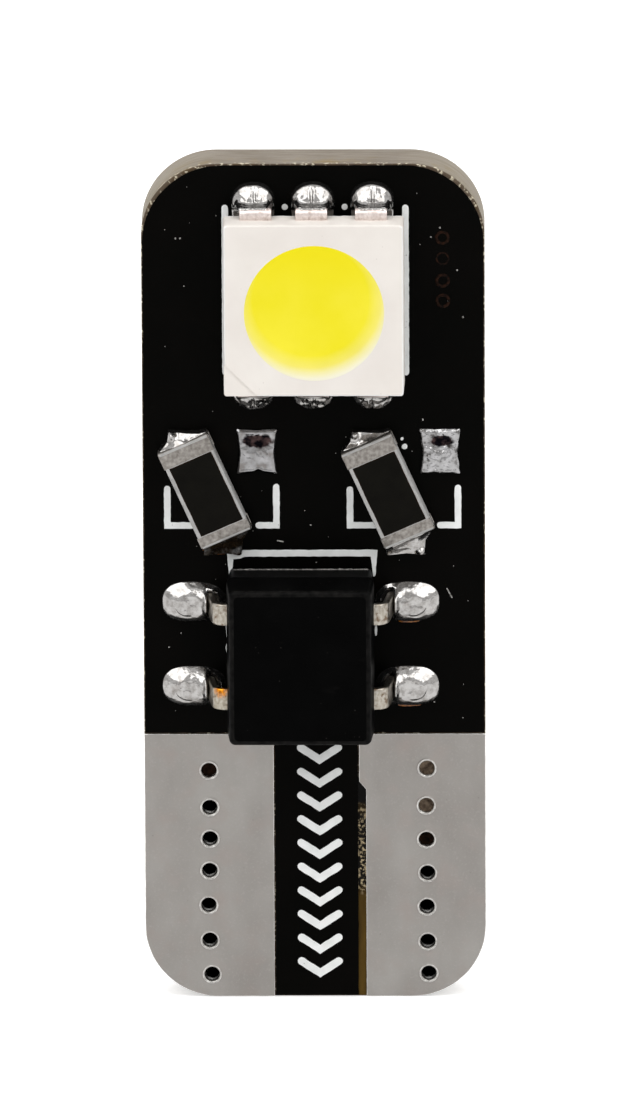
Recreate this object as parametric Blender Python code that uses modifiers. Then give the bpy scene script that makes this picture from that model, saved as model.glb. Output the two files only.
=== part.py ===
"""Wedge base LED bulb: one circuit board with a square LED on each face.

The front carries a bridge rectifier and two chip resistors, the back two load resistors. Tinned contact
plates at the foot are joined through the board by rows of plated holes, and slide into a wedge socket.

Sizes are in metres. +Z runs up the board and -Y is the front. Each face has its own frame, an empty whose
X runs across the board (u), whose Y runs up it (v) and whose Z stands off the bare laminate (h).
"""

import math

import bmesh
import bpy
from mathutils import Matrix, Vector

# Board
BOARD_THICKNESS = 0.0016
CORNER_RADIUS = 0.00215
EDGE_MARGIN = 0.00054
TOP_MARGIN = 0.00046
MASK_THICKNESS = 0.00004
MASK_MARGIN = 0.00003
MASK_CORNER_EXTRA = 0.00015
MASK_CLEARANCE = 0.00003

# The film of glue or solder between two pieces that touch
SEAT_GAP = 0.00001

# Contact plates at the foot
CONTACT_HEIGHT = 0.00797
CONTACT_THICKNESS = 0.00005
STRIP_HALF_WIDTH = 0.0012
STRIP_SHIFT = 0.00004
LEDGE_WIDTH = 0.0002
LEDGE_HEIGHT = 0.00628
LEDGE_SLOPE = 0.00024
VIA_DRILL_RADIUS = 0.00026
VIA_WALL = 0.00004
VIA_PITCH = 0.00103
VIA_MARGIN = 0.0007

# Copper pads under the soldered parts
PAD_THICKNESS = 0.00005

# LED, a square housing with a round cup, three leads on its top side and three on its bottom side
LED_WIDTH = 0.00526
LED_HEIGHT = 0.0016
LED_DRAFT = 0.00003
LED_EDGE_ROUND = 0.00006
CUP_TOP_RADIUS = 0.00204
CUP_FLOOR_RADIUS = 0.00172
GEL_RECESS = 0.00004
GEL_DISH = 0.00006
NOTCH_LEG = 0.00085
NOTCH_DEPTH = 0.00005
LED_LEAD_PITCH = 0.00171
LED_LEAD_WIDTH = 0.00092
LED_LEAD_THICKNESS = 0.00015
LED_LEAD_WALL_GAP = 0.00005
LED_FRAME_HEIGHT = 0.00095
LED_TONGUE_END = 0.0003
LED_FOOT_LENGTH = 0.0007
LED_PAD_SIDE = 0.00015
LED_PAD_TOE = 0.00059
LED_PAD_HEEL = 0.00015
LED_SOLDER_HEIGHT = 0.0007

# Bridge rectifier, a moulded body with two gull-wing leads on each side
BRIDGE_WIDTH = 0.00425
BRIDGE_LENGTH = 0.00478
BRIDGE_HEIGHT = 0.0025
BRIDGE_STANDOFF = 0.0001
BRIDGE_DRAFT = 0.00008
BRIDGE_EDGE_ROUND = 0.00014
BRIDGE_SHIFT = 0.00039
BRIDGE_ABOVE_CONTACTS = 0.00034
BRIDGE_PIN_LENGTH = 0.0004
BRIDGE_LEAD_PITCH = 0.00254
BRIDGE_LEAD_WIDTH = 0.00064
BRIDGE_LEAD_THICKNESS = 0.0002
BRIDGE_SHOULDER = 0.000305
BRIDGE_LEG_SPLAY = 0.00022
BRIDGE_FOOT_LENGTH = 0.00075
BRIDGE_BEND_RADIUS = 0.0002
BRIDGE_PAD_SIDE = 0.00028
BRIDGE_PAD_TOE = 0.0006
BRIDGE_PAD_HEEL = 0.0005
BRIDGE_SOLDER_HEIGHT = 0.0004

# Chip resistors on the front, each set askew from its upper left pad to its lower middle pad
RESISTOR_LENGTH = 0.00315
RESISTOR_WIDTH = 0.00156
RESISTOR_HEIGHT = 0.00058
RESISTOR_CAP_LENGTH = 0.00046
RESISTOR_TILT = math.radians(24)
RESISTOR_RISE = 0.00015
FOOTPRINT_SPACING = 0.00527
FOOTPRINT_PAD_PITCH = 0.002
FOOTPRINT_ROW_PITCH = 0.00241
FOOTPRINT_PAD_WIDTH = 0.00112
FOOTPRINT_PAD_HEIGHT = 0.00134
FOOTPRINT_ABOVE_BRIDGE = 0.00031
LED_ABOVE_FOOTPRINT = 0.0006
RESISTOR_SOLDER_HEIGHT = 0.0005
SPARE_SOLDER_HEIGHT = 0.00014

# Load resistors on the back, lying across the board
LOAD_LENGTH = 0.00635
LOAD_WIDTH = 0.0032
LOAD_HEIGHT = 0.0006
LOAD_CAP_LENGTH = 0.0006
LOAD_PAD_INNER = 0.0009
LOAD_PAD_OUTER = 0.0005
LOAD_PAD_SIDE = 0.0001
LOAD_SOLDER_HEIGHT = 0.00045

# How square each kind of pad is in outline, from 0 for round to 1 for square
SQUARENESS = {"led": 0.45, "bridge": 0.3, "chip": 0.95}

# Layers of every chip resistor
CAP_THICKNESS = 0.00005
CAP_BEND_RADIUS = 0.0001
COAT_THICKNESS = 0.00006
COAT_SIDE_MARGIN = 0.00012
COAT_END_GAP = 0.00002

# Facets
ARC_STEPS = 6
BEND_STEPS = 3
WINDOW_STEPS = 2
VIA_SIDES = 10
CUP_SIDES = 36
MOUND_CELLS = 5
SMOOTH_ANGLE = math.radians(35)

# How far a cutter runs past what it cuts, and how near points are before they are made one
BOOLEAN_OVERRUN = 0.0004
WELD_DISTANCE = 1e-7

# The front's stack of parts, from the foot up
BRIDGE_CENTRE = CONTACT_HEIGHT + BRIDGE_ABOVE_CONTACTS + BRIDGE_LENGTH / 2
FOOTPRINT_CENTRE = (BRIDGE_CENTRE + BRIDGE_LENGTH / 2 + FOOTPRINT_ABOVE_BRIDGE
                    + FOOTPRINT_PAD_HEIGHT / 2 + FOOTPRINT_ROW_PITCH / 2)
LED_LEAD_OUTSIDE = LED_WIDTH / 2 + LED_LEAD_WALL_GAP + LED_LEAD_THICKNESS
LED_HALF_SPAN = LED_LEAD_OUTSIDE + LED_PAD_TOE
LED_PAD_WIDTH = LED_LEAD_WIDTH + 2 * LED_PAD_SIDE
LED_PAD_LENGTH = LED_PAD_TOE + LED_FOOT_LENGTH + LED_LEAD_THICKNESS / 2 + LED_PAD_HEEL
LED_CENTRE = (FOOTPRINT_CENTRE + FOOTPRINT_ROW_PITCH / 2 + FOOTPRINT_PAD_HEIGHT / 2
              + LED_ABOVE_FOOTPRINT + LED_HALF_SPAN)
BOARD_HEIGHT = LED_CENTRE + LED_HALF_SPAN + TOP_MARGIN
BRIDGE_HEEL = BRIDGE_WIDTH / 2 + BRIDGE_SHOULDER + BRIDGE_LEG_SPLAY
BRIDGE_HALF_SPAN = BRIDGE_HEEL + BRIDGE_FOOT_LENGTH + BRIDGE_PAD_TOE
BRIDGE_PAD_WIDTH = BRIDGE_LEAD_WIDTH + 2 * BRIDGE_PAD_SIDE
BRIDGE_PAD_LENGTH = BRIDGE_PAD_TOE + BRIDGE_FOOT_LENGTH + BRIDGE_PAD_HEEL
HALF_WIDTH = BRIDGE_HALF_SPAN + BRIDGE_SHIFT + EDGE_MARGIN
VIA_COUNT = 1 + int((CONTACT_HEIGHT - 2 * VIA_MARGIN) / VIA_PITCH)
LEAD_FLOOR = PAD_THICKNESS + SEAT_GAP
LED_FLOOR = LEAD_FLOOR + LED_LEAD_THICKNESS + SEAT_GAP
LED_ABOVE = LED_HEIGHT + BOOLEAN_OVERRUN

PARTS = "wedge_base_led_bulb"
CUTTERS = "cutters"
COLOURS = {
    "laminate": ((0.50, 0.43, 0.33), 0.6, 0.0),
    "solder_mask": ((0.006, 0.006, 0.006), 0.3, 0.0),
    "tinned_contact": ((0.35, 0.34, 0.33), 0.4, 1.0),
    "white_housing": ((0.83, 0.79, 0.74), 0.45, 0.0),
    "phosphor_gel": ((0.90, 0.72, 0.02), 0.3, 0.0),
    "plated_lead": ((0.55, 0.45, 0.38), 0.3, 1.0),
    "solder": ((0.62, 0.62, 0.63), 0.15, 1.0),
    "black_epoxy": ((0.008, 0.008, 0.008), 0.4, 0.0),
    "white_ceramic": ((0.72, 0.72, 0.70), 0.5, 0.0),
    "resistor_coat": ((0.009, 0.008, 0.007), 0.5, 0.0),
    "end_cap": ((0.42, 0.40, 0.38), 0.4, 1.0),
}


# Scene helpers


def start_scene():
    """Clears the scene and makes the collections for the parts and for what cuts them."""
    for obj in list(bpy.data.objects):
        bpy.data.objects.remove(obj, do_unlink=True)
    for name in (PARTS, CUTTERS):
        bpy.context.scene.collection.children.link(bpy.data.collections.new(name))


def material(name):
    """The named Principled material, made the first time it is asked for."""
    if name in bpy.data.materials:
        return bpy.data.materials[name]
    colour, roughness, metallic = COLOURS[name]
    made = bpy.data.materials.new(name)
    made.use_nodes = True
    shader = made.node_tree.nodes["Principled BSDF"]
    shader.inputs["Base Color"].default_value = (*colour, 1)
    shader.inputs["Roughness"].default_value = roughness
    shader.inputs["Metallic"].default_value = metallic
    made.diffuse_color = (*colour, 1)
    return made


def frame(name, parent=None, location=(0, 0, 0), rotation=(0, 0, 0)):
    """An empty that carries the pieces modelled in its coordinates."""
    empty = bpy.data.objects.new(name, None)
    bpy.data.collections[PARTS].objects.link(empty)
    empty.parent = parent
    empty.location = location
    empty.rotation_euler = rotation
    return empty


def piece(name, data, parent, finish, location=(0, 0, 0), turn=0.0):
    """A part in its parent's frame, with its material, turned about the frame's Z."""
    obj = bpy.data.objects.new(name, data)
    bpy.data.collections[PARTS].objects.link(obj)
    obj.parent = parent
    obj.location = location
    obj.rotation_euler = (0, 0, turn)
    obj.data.materials.append(material(finish))
    return obj


def cutter(name, data, parent, location=(0, 0, 0), turn=0.0):
    """A helper that only cuts other pieces, so it isn't rendered."""
    obj = bpy.data.objects.new(name, data)
    bpy.data.collections[CUTTERS].objects.link(obj)
    obj.parent = parent
    obj.location = location
    obj.rotation_euler = (0, 0, turn)
    obj.hide_render = True
    obj.display_type = "WIRE"
    return obj


def combine(target, other, operation="DIFFERENCE"):
    """Cuts the target by another mesh, or joins that mesh to it."""
    modifier = target.modifiers.new(f"{operation.lower()} {other.name}", "BOOLEAN")
    modifier.operation = operation
    modifier.solver = "EXACT"
    modifier.object = other


def round_edges(obj, width, segments=2):
    """Rounds the sharp edges of a piece."""
    modifier = obj.modifiers.new("rounded edges", "BEVEL")
    modifier.width = width
    modifier.segments = segments
    modifier.limit_method = "ANGLE"
    modifier.angle_limit = math.radians(40)
    modifier.use_clamp_overlap = True


# Shapes


def filleted(corners, closed=True, steps=ARC_STEPS):
    """The points of a line through (x, y, radius) corners, each rounded by an arc of its radius."""
    points = []
    last = len(corners) - 1
    for i, (x, y, radius) in enumerate(corners):
        here = Vector((x, y))
        if radius == 0 or (not closed and i in (0, last)):
            points.append(here)
            continue
        before = (Vector(corners[i - 1][:2]) - here).normalized()
        after = (Vector(corners[(i + 1) % len(corners)][:2]) - here).normalized()
        half_angle = before.angle(after) / 2
        centre = here + (before + after).normalized() * radius / math.sin(half_angle)
        start = here + before * radius / math.tan(half_angle) - centre
        end = here + after * radius / math.tan(half_angle) - centre
        sweep = start.angle_signed(end)
        for k in range(steps + 1):
            points.append(centre + Matrix.Rotation(-sweep * k / steps, 2) @ start)
    return points


def rectangle(left, bottom, right, top, radius, steps=ARC_STEPS):
    """The outline of a rectangle with rounded corners."""
    corners = ((left, bottom), (right, bottom), (right, top), (left, top))
    return filleted([(*corner, radius) for corner in corners], steps=steps)


def circle(u, v, radius):
    """The outline of a round hole."""
    angles = (2 * math.pi * k / VIA_SIDES for k in range(VIA_SIDES))
    return [Vector((u + radius * math.cos(a), v + radius * math.sin(a))) for a in angles]


def sheet(name, outlines, thickness):
    """Curve data for a flat sheet, from its outer outline and those of its holes."""
    data = bpy.data.curves.new(name, "CURVE")
    data.dimensions = "2D"
    data.fill_mode = "BOTH"
    data.extrude = thickness / 2
    for outline in outlines:
        spline = data.splines.new("POLY")
        spline.points.add(len(outline) - 1)
        for point, (x, y) in zip(spline.points, outline):
            point.co = (x, y, 0, 1)
        spline.use_cyclic_u = True
    return data


def solid_from_sheet(name, outlines, low, high):
    """A mesh of the sheet between two heights, welded so that it can be cut."""
    curve = bpy.data.objects.new(name, sheet(name, outlines, high - low))
    bpy.context.scene.collection.objects.link(curve)
    mesh = bpy.data.meshes.new_from_object(curve.evaluated_get(bpy.context.evaluated_depsgraph_get()))
    bpy.data.objects.remove(curve)
    shape = bmesh.new()
    shape.from_mesh(mesh)
    bmesh.ops.translate(shape, verts=shape.verts, vec=(0, 0, (low + high) / 2))
    bmesh.ops.remove_doubles(shape, verts=shape.verts, dist=WELD_DISTANCE)
    bmesh.ops.recalc_face_normals(shape, faces=shape.faces)
    return finished(shape, name, mesh)


def finished(shape, name, mesh=None):
    """Writes a bmesh to mesh data."""
    mesh = mesh or bpy.data.meshes.new(name)
    shape.to_mesh(mesh)
    shape.free()
    return mesh


def smoothed(mesh):
    """Shades the mesh smooth, apart from its sharp edges."""
    mesh.shade_smooth()
    mesh.set_sharp_from_angle(angle=SMOOTH_ANGLE)
    return mesh


def block(name, low, high, top_inset=0.0):
    """A box between two corners, drawn in by top_inset at its top."""
    shape = bmesh.new()
    size = Vector(high) - Vector(low)
    bmesh.ops.create_cube(shape, size=1, matrix=Matrix.Diagonal((*size, 1)))
    for vert in shape.verts:
        if vert.co.z > 0:
            vert.co.x -= top_inset * math.copysign(1, vert.co.x)
            vert.co.y -= top_inset * math.copysign(1, vert.co.y)
    bmesh.ops.translate(shape, verts=shape.verts, vec=(Vector(high) + Vector(low)) / 2)
    return finished(shape, name)


def cone(name, low, low_radius, high, high_radius, sides):
    """A solid cone frustum about the frame's Z."""
    shape = bmesh.new()
    bmesh.ops.create_cone(shape, cap_ends=True, segments=sides, radius1=low_radius, radius2=high_radius,
                          depth=high - low, matrix=Matrix.Translation((0, 0, (high + low) / 2)))
    return smoothed(finished(shape, name))


def turned(name, profile):
    """A solid of revolution about the frame's Z, from the (radius, h) points of its outline."""
    shape = bmesh.new()
    verts = [shape.verts.new((r, 0, h)) for r, h in profile]
    edges = [shape.edges.new(pair) for pair in zip(verts, verts[1:])]
    bmesh.ops.spin(shape, geom=verts + edges, axis=(0, 0, 1), cent=(0, 0, 0), angle=2 * math.pi,
                   steps=CUP_SIDES, use_merge=True)
    bmesh.ops.remove_doubles(shape, verts=shape.verts, dist=WELD_DISTANCE)
    bmesh.ops.recalc_face_normals(shape, faces=shape.faces)
    return smoothed(finished(shape, name))


def strip(name, path, width):
    """The open middle surface of a bent metal strip: a (y, z) path drawn out along X."""
    shape = bmesh.new()
    rows = [[shape.verts.new((side * width / 2, y, z)) for side in (-1, 1)] for y, z in path]
    for (a, b), (c, d) in zip(rows, rows[1:]):
        shape.faces.new((a, b, d, c))
    return finished(shape, name)


def thicken(obj, thickness):
    """Gives an open strip its thickness, half on each side."""
    modifier = obj.modifiers.new("metal thickness", "SOLIDIFY")
    modifier.thickness = thickness
    modifier.offset = 0
    modifier.use_even_offset = True


def bent_lead(name, path, width, thickness, home, u, v, turn):
    """A lead bent along a path, and the slightly larger space that it takes in what holds it."""
    lead = piece(name, strip(name, path, width), home, "plated_lead", (u, v, 0), turn)
    thicken(lead, thickness)
    space_name = f"{name}_space"
    space = cutter(space_name, strip(space_name, path, width + 2 * SEAT_GAP), home, (u, v, 0), turn)
    thicken(space, thickness + 2 * SEAT_GAP)
    return lead, space


def mound(name, width, length, height, squareness):
    """Solder on its pad: a full cushion, round in outline at squareness 0 and square at 1."""
    shape = bmesh.new()
    bmesh.ops.create_grid(shape, x_segments=MOUND_CELLS, y_segments=MOUND_CELLS, size=1)
    for vert in shape.verts:
        a, b, _ = vert.co
        x = a * (squareness + (1 - squareness) * math.sqrt(1 - b * b / 2))
        y = b * (squareness + (1 - squareness) * math.sqrt(1 - a * a / 2))
        rise = (1 - a**4) * (1 - b**4)
        vert.co = (x * width / 2, y * length / 2, PAD_THICKNESS + height * rise)
    base = bmesh.ops.extrude_face_region(shape, geom=list(shape.faces))["geom"]
    for item in base:
        if isinstance(item, bmesh.types.BMVert):
            item.co.z = SEAT_GAP
    flat = [item for item in base if isinstance(item, bmesh.types.BMFace)]
    bmesh.ops.dissolve_faces(shape, faces=flat)
    bmesh.ops.recalc_face_normals(shape, faces=shape.faces)
    return smoothed(finished(shape, name))


# Board and contacts


def via_places(centre):
    """The (u, v) places of one column of plated holes."""
    return [(centre, VIA_MARGIN + k * VIA_PITCH) for k in range(VIA_COUNT)]


def contact_corners(side):
    """Corners of a contact plate as (u, v, radius): side is -1 on the left and 1 on the right.

    The inner edge of the right plate steps back below the ledge, where bare laminate shows.
    """
    outer = side * HALF_WIDTH
    inner = STRIP_SHIFT + side * (STRIP_HALF_WIDTH + MASK_CLEARANCE)
    corners = [(outer, 0, CORNER_RADIUS), (outer, CONTACT_HEIGHT, 0), (inner, CONTACT_HEIGHT, 0)]
    if side < 0:
        return corners + [(inner, 0, 0)]
    lower = inner + LEDGE_WIDTH
    return corners + [(inner, LEDGE_HEIGHT + LEDGE_SLOPE, 0), (lower, LEDGE_HEIGHT, 0), (lower, 0, 0)]


def contact_centre(side):
    """The middle of a contact plate's foot, where its column of holes runs."""
    edges = [u for u, v, _ in contact_corners(side) if v == 0]
    return sum(edges) / len(edges)


def laminate(board):
    """The glass-fibre board with its drilled holes."""
    outline = rectangle(-HALF_WIDTH, 0, HALF_WIDTH, BOARD_HEIGHT, CORNER_RADIUS)
    drills = [circle(u, v, VIA_DRILL_RADIUS)
              for side in (-1, 1) for u, v in via_places(contact_centre(side))]
    piece("board_laminate", sheet("board_laminate", [outline, *drills], BOARD_THICKNESS), board, "laminate")


def contact(board, name, side):
    """The plates on both faces of one side of the foot, and the plated holes that join them."""
    reach = BOARD_THICKNESS / 2 + SEAT_GAP
    holes = via_places(contact_centre(side))
    bores = [circle(u, v, VIA_DRILL_RADIUS - SEAT_GAP - VIA_WALL) for u, v in holes]
    outline = filleted(contact_corners(side))
    full = reach + CONTACT_THICKNESS
    plates = piece(name, solid_from_sheet(name, [outline, *bores], -full, full), board, "tinned_contact")
    round_barrels = [circle(u, v, VIA_DRILL_RADIUS - SEAT_GAP) for u, v in holes]
    over = BOOLEAN_OVERRUN
    slab = rectangle(-HALF_WIDTH - over, -over, HALF_WIDTH + over, CONTACT_HEIGHT + over, 0)
    core = solid_from_sheet(f"{name}_core", [slab, *round_barrels], -reach, reach)
    combine(plates, cutter(f"{name}_core", core, board))


def mask(face, name, windows, mirrored):
    """The black solder mask of one face, down to the strip between the contacts."""
    shift = -STRIP_SHIFT if mirrored else STRIP_SHIFT
    side = HALF_WIDTH - MASK_MARGIN
    top = BOARD_HEIGHT - MASK_MARGIN
    shoulder = CONTACT_HEIGHT + MASK_CLEARANCE
    corner = CORNER_RADIUS + MASK_CORNER_EXTRA
    left, right = shift - STRIP_HALF_WIDTH, shift + STRIP_HALF_WIDTH
    outline = filleted([(left, MASK_MARGIN, 0), (right, MASK_MARGIN, 0), (right, shoulder, 0),
                        (side, shoulder, 0), (side, top, corner), (-side, top, corner),
                        (-side, shoulder, 0), (left, shoulder, 0)])
    data = sheet(name, [outline, *windows], MASK_THICKNESS)
    piece(name, data, face, "solder_mask", (0, 0, SEAT_GAP + MASK_THICKNESS / 2))


def window(u, v, width, length, radius):
    """The opening that the mask leaves round a pad."""
    half_width = width / 2 + MASK_CLEARANCE
    half_length = length / 2 + MASK_CLEARANCE
    return rectangle(u - half_width, v - half_length, u + half_width, v + half_length, radius, WINDOW_STEPS)


# LED


def led_lead_path():
    """Middle line of an LED lead as (v, h): tongue in the cup, wall, and foot folded under the housing."""
    outside = LED_LEAD_OUTSIDE - LED_LEAD_THICKNESS / 2
    foot = LEAD_FLOOR + LED_LEAD_THICKNESS / 2
    bend = LED_LEAD_THICKNESS
    corners = [(LED_TONGUE_END, LED_FRAME_HEIGHT, 0), (outside, LED_FRAME_HEIGHT, bend),
               (outside, foot, bend), (outside - LED_FOOT_LENGTH, foot, 0)]
    return filleted(corners, closed=False, steps=BEND_STEPS)


def led_places():
    """(u, turn) of each lead: three on the top side from the left, then three on the bottom side."""
    across = (-LED_LEAD_PITCH, 0, LED_LEAD_PITCH)
    return [(u, 0.0) for u in across] + [(u, math.pi) for u in across]


def led_pad_centre():
    """How far the middle of an LED pad lies from the middle of the LED."""
    return LED_HALF_SPAN - LED_PAD_LENGTH / 2


def led(prefix, face, join_solder):
    """One LED and its soldered leads. join_solder makes each lead and its solder one piece."""
    home = frame(f"{prefix}_frame", face, (0, LED_CENTRE, 0))
    housing = led_housing(prefix, home)
    gel = piece(f"{prefix}_gel", turned(f"{prefix}_gel", gel_profile()), home, "phosphor_gel")
    half = LED_WIDTH / 2 + SEAT_GAP
    name = f"{prefix}_body_space"
    space = block(name, (-half, -half, LED_FLOOR - SEAT_GAP), (half, half, LED_ABOVE))
    body_space = cutter(name, space, home)
    for number, (u, turn) in enumerate(led_places(), 1):
        name = f"{prefix}_lead_{number}"
        lead, space = bent_lead(name, led_lead_path(), LED_LEAD_WIDTH, LED_LEAD_THICKNESS, home, u, 0, turn)
        combine(housing, space)
        combine(gel, space)
        name = f"{prefix}_solder_{number}"
        data = mound(name, LED_PAD_WIDTH, LED_PAD_LENGTH, LED_SOLDER_HEIGHT, SQUARENESS["led"])
        place = (u, led_pad_centre() * math.cos(turn), 0)
        if join_solder:
            solder = cutter(name, data, home, place, turn)
            combine(solder, body_space)
            combine(lead, solder, "UNION")
        else:
            solder = piece(name, data, home, "solder", place, turn)
            combine(solder, body_space)
            combine(solder, space)


def led_housing(prefix, home):
    """The white housing with its round cup and the cut corner that marks its polarity."""
    half = LED_WIDTH / 2
    name = f"{prefix}_housing"
    shell = block(name, (-half, -half, LED_FLOOR), (half, half, LED_HEIGHT), LED_DRAFT)
    housing = piece(name, shell, home, "white_housing")
    round_edges(housing, LED_EDGE_ROUND)
    name = f"{prefix}_cup"
    cup = cone(name, LED_FRAME_HEIGHT, CUP_FLOOR_RADIUS, LED_ABOVE, cup_radius(LED_ABOVE), CUP_SIDES)
    combine(housing, cutter(name, cup, home))
    name = f"{prefix}_notch"
    notch = block(name, (-half, -half, LED_HEIGHT - NOTCH_DEPTH), (half, 0, LED_ABOVE))
    corner = -(half - LED_DRAFT) + NOTCH_LEG / 2
    combine(housing, cutter(name, notch, home, (corner, corner, 0), -math.pi / 4))
    return housing


def cup_radius(h):
    """The radius of the LED's cup at a height."""
    share = (h - LED_FRAME_HEIGHT) / (LED_HEIGHT - LED_FRAME_HEIGHT)
    return CUP_FLOOR_RADIUS + share * (CUP_TOP_RADIUS - CUP_FLOOR_RADIUS)


def gel_profile():
    """Half section of the gel that fills the cup, from the middle of its dished top to its floor."""
    low = LED_FRAME_HEIGHT + SEAT_GAP
    high = LED_HEIGHT - GEL_RECESS
    rim = cup_radius(high) - SEAT_GAP
    shares = [k / BEND_STEPS for k in range(BEND_STEPS + 1)]
    dish = [(rim * share, high - GEL_DISH * (1 - share**2)) for share in shares]
    return [*dish, (cup_radius(low) - SEAT_GAP, low), (0, low)]


# Bridge rectifier


def bridge_lead_path():
    """Middle line of a gull-wing lead as (across, h), from inside the body to the end of its foot."""
    level = BRIDGE_STANDOFF + BRIDGE_HEIGHT / 2
    foot = LEAD_FLOOR + BRIDGE_LEAD_THICKNESS / 2
    shoulder = BRIDGE_HEEL - BRIDGE_LEG_SPLAY
    corners = [(BRIDGE_WIDTH / 2 - BRIDGE_PIN_LENGTH, level, 0), (shoulder, level, BRIDGE_BEND_RADIUS),
               (BRIDGE_HEEL, foot, BRIDGE_BEND_RADIUS), (BRIDGE_HEEL + BRIDGE_FOOT_LENGTH, foot, 0)]
    return filleted(corners, closed=False, steps=BEND_STEPS)


def bridge_body_half(name, low, high, inset_low, inset_high):
    """One half of the moulding, widest at the parting plane."""
    half_u, half_v = BRIDGE_WIDTH / 2 - inset_low, BRIDGE_LENGTH / 2 - inset_low
    return block(name, (-half_u, -half_v, low), (half_u, half_v, high), inset_high - inset_low)


def bridge_pad_places():
    """(u, v, turn) of each pad, from the top left, down each side."""
    across = BRIDGE_HALF_SPAN - BRIDGE_PAD_LENGTH / 2
    up = BRIDGE_LEAD_PITCH / 2
    return [(side * across, row * up, -side * math.pi / 2) for side in (-1, 1) for row in (1, -1)]


def bridge(face):
    """The rectifier, its four leads and their solder."""
    home = frame("bridge_frame", face, (-BRIDGE_SHIFT, BRIDGE_CENTRE, 0))
    middle = BRIDGE_STANDOFF + BRIDGE_HEIGHT / 2
    top = BRIDGE_STANDOFF + BRIDGE_HEIGHT
    upper = bridge_body_half("bridge_body", middle, top, 0, BRIDGE_DRAFT)
    body = piece("bridge_body", upper, home, "black_epoxy")
    round_edges(body, BRIDGE_EDGE_ROUND)
    lap = middle + 2 * BRIDGE_EDGE_ROUND
    lower = bridge_body_half("bridge_lower", BRIDGE_STANDOFF, lap, BRIDGE_DRAFT, 0)
    combine(body, cutter("bridge_lower", lower, home), "UNION")
    path = bridge_lead_path()
    for number, (u, v, turn) in enumerate(bridge_pad_places(), 1):
        name = f"bridge_lead_{number}"
        _, space = bent_lead(name, path, BRIDGE_LEAD_WIDTH, BRIDGE_LEAD_THICKNESS, home, 0, v, turn)
        combine(body, space)
        name = f"bridge_solder_{number}"
        data = mound(name, BRIDGE_PAD_WIDTH, BRIDGE_PAD_LENGTH, BRIDGE_SOLDER_HEIGHT, SQUARENESS["bridge"])
        combine(piece(name, data, home, "solder", (u, v, 0), turn), space)


# Chip resistors


def chip_cap(name, length, width, height, cap_length, home, turn):
    """The metal cap over one end of a chip: the top end at turn 0, the bottom end at half a turn."""
    inset = CAP_THICKNESS / 2
    low, high = LEAD_FLOOR + inset, LEAD_FLOOR + height - inset
    tip, root = length / 2 - inset, length / 2 - cap_length
    corners = [(root, low, 0), (tip, low, CAP_BEND_RADIUS), (tip, high, CAP_BEND_RADIUS), (root, high, 0)]
    path = filleted(corners, closed=False, steps=BEND_STEPS)
    cap = piece(name, strip(name, path, width), home, "end_cap", turn=turn)
    thicken(cap, CAP_THICKNESS)
    return cap


def chip_resistor(prefix, home, length, width, height, cap_length):
    """A chip resistor's ceramic and its black coat, at the height where its caps seat on the pads."""
    inset = CAP_THICKNESS + SEAT_GAP
    low, high = LEAD_FLOOR + inset, LEAD_FLOOR + height - inset
    half_width, half_length = width / 2, length / 2 - inset
    name = f"{prefix}_ceramic"
    slab = block(name, (-half_width, -half_length, low), (half_width, half_length, high))
    round_edges(piece(name, slab, home, "white_ceramic"), CAP_BEND_RADIUS / 2, 1)
    name = f"{prefix}_coat"
    coat_width = half_width - COAT_SIDE_MARGIN
    coat_length = length / 2 - cap_length - COAT_END_GAP
    low, high = high + SEAT_GAP, high + SEAT_GAP + COAT_THICKNESS
    corners = (-coat_width, -coat_length, low), (coat_width, coat_length, high)
    coat = block(name, *corners, COAT_THICKNESS / 2)
    piece(name, coat, home, "resistor_coat")


def chip_space(name, home, length, width, height, depth):
    """The box that a chip's solder stops at, this far in from the faces of its ends and its base."""
    half_width, half_length = width / 2 + SEAT_GAP, length / 2 - depth
    space = block(name, (-half_width, -half_length, LEAD_FLOOR + depth),
                  (half_width, half_length, LEAD_FLOOR + height + BOOLEAN_OVERRUN))
    return cutter(name, space, home)


def footprint_pads():
    """(u, v) of a resistor footprint's pads: upper left, lower middle and the spare upper right."""
    up = FOOTPRINT_ROW_PITCH / 2
    return (-FOOTPRINT_PAD_PITCH / 2, up), (0, -up), (FOOTPRINT_PAD_PITCH / 2, up)


def front_resistor(face, prefix, side):
    """A resistor askew on two pads of its three-pad footprint, with the spare pad only tinned."""
    footprint = frame(f"{prefix}_footprint", face, (side * FOOTPRINT_SPACING / 2, FOOTPRINT_CENTRE, 0))
    home = frame(f"{prefix}_frame", footprint, (-FOOTPRINT_PAD_PITCH / 4, RESISTOR_RISE, 0),
                 (0, 0, RESISTOR_TILT))
    size = (RESISTOR_LENGTH, RESISTOR_WIDTH, RESISTOR_HEIGHT)
    chip_resistor(prefix, home, *size, RESISTOR_CAP_LENGTH)
    chip_cap(f"{prefix}_cap_top", *size, RESISTOR_CAP_LENGTH, home, 0)
    chip_cap(f"{prefix}_cap_bottom", *size, RESISTOR_CAP_LENGTH, home, math.pi)
    space = chip_space(f"{prefix}_space", home, *size, -SEAT_GAP)
    pads = zip(("solder_top", "solder_bottom", "spare_pad"), footprint_pads(),
               (RESISTOR_SOLDER_HEIGHT, RESISTOR_SOLDER_HEIGHT, SPARE_SOLDER_HEIGHT))
    for label, (u, v), height in pads:
        name = f"{prefix}_{label}"
        data = mound(name, FOOTPRINT_PAD_WIDTH, FOOTPRINT_PAD_HEIGHT, height, SQUARENESS["chip"])
        solder = piece(name, data, footprint, "solder", (u, v, 0))
        if label != "spare_pad":
            combine(solder, space)


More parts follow.
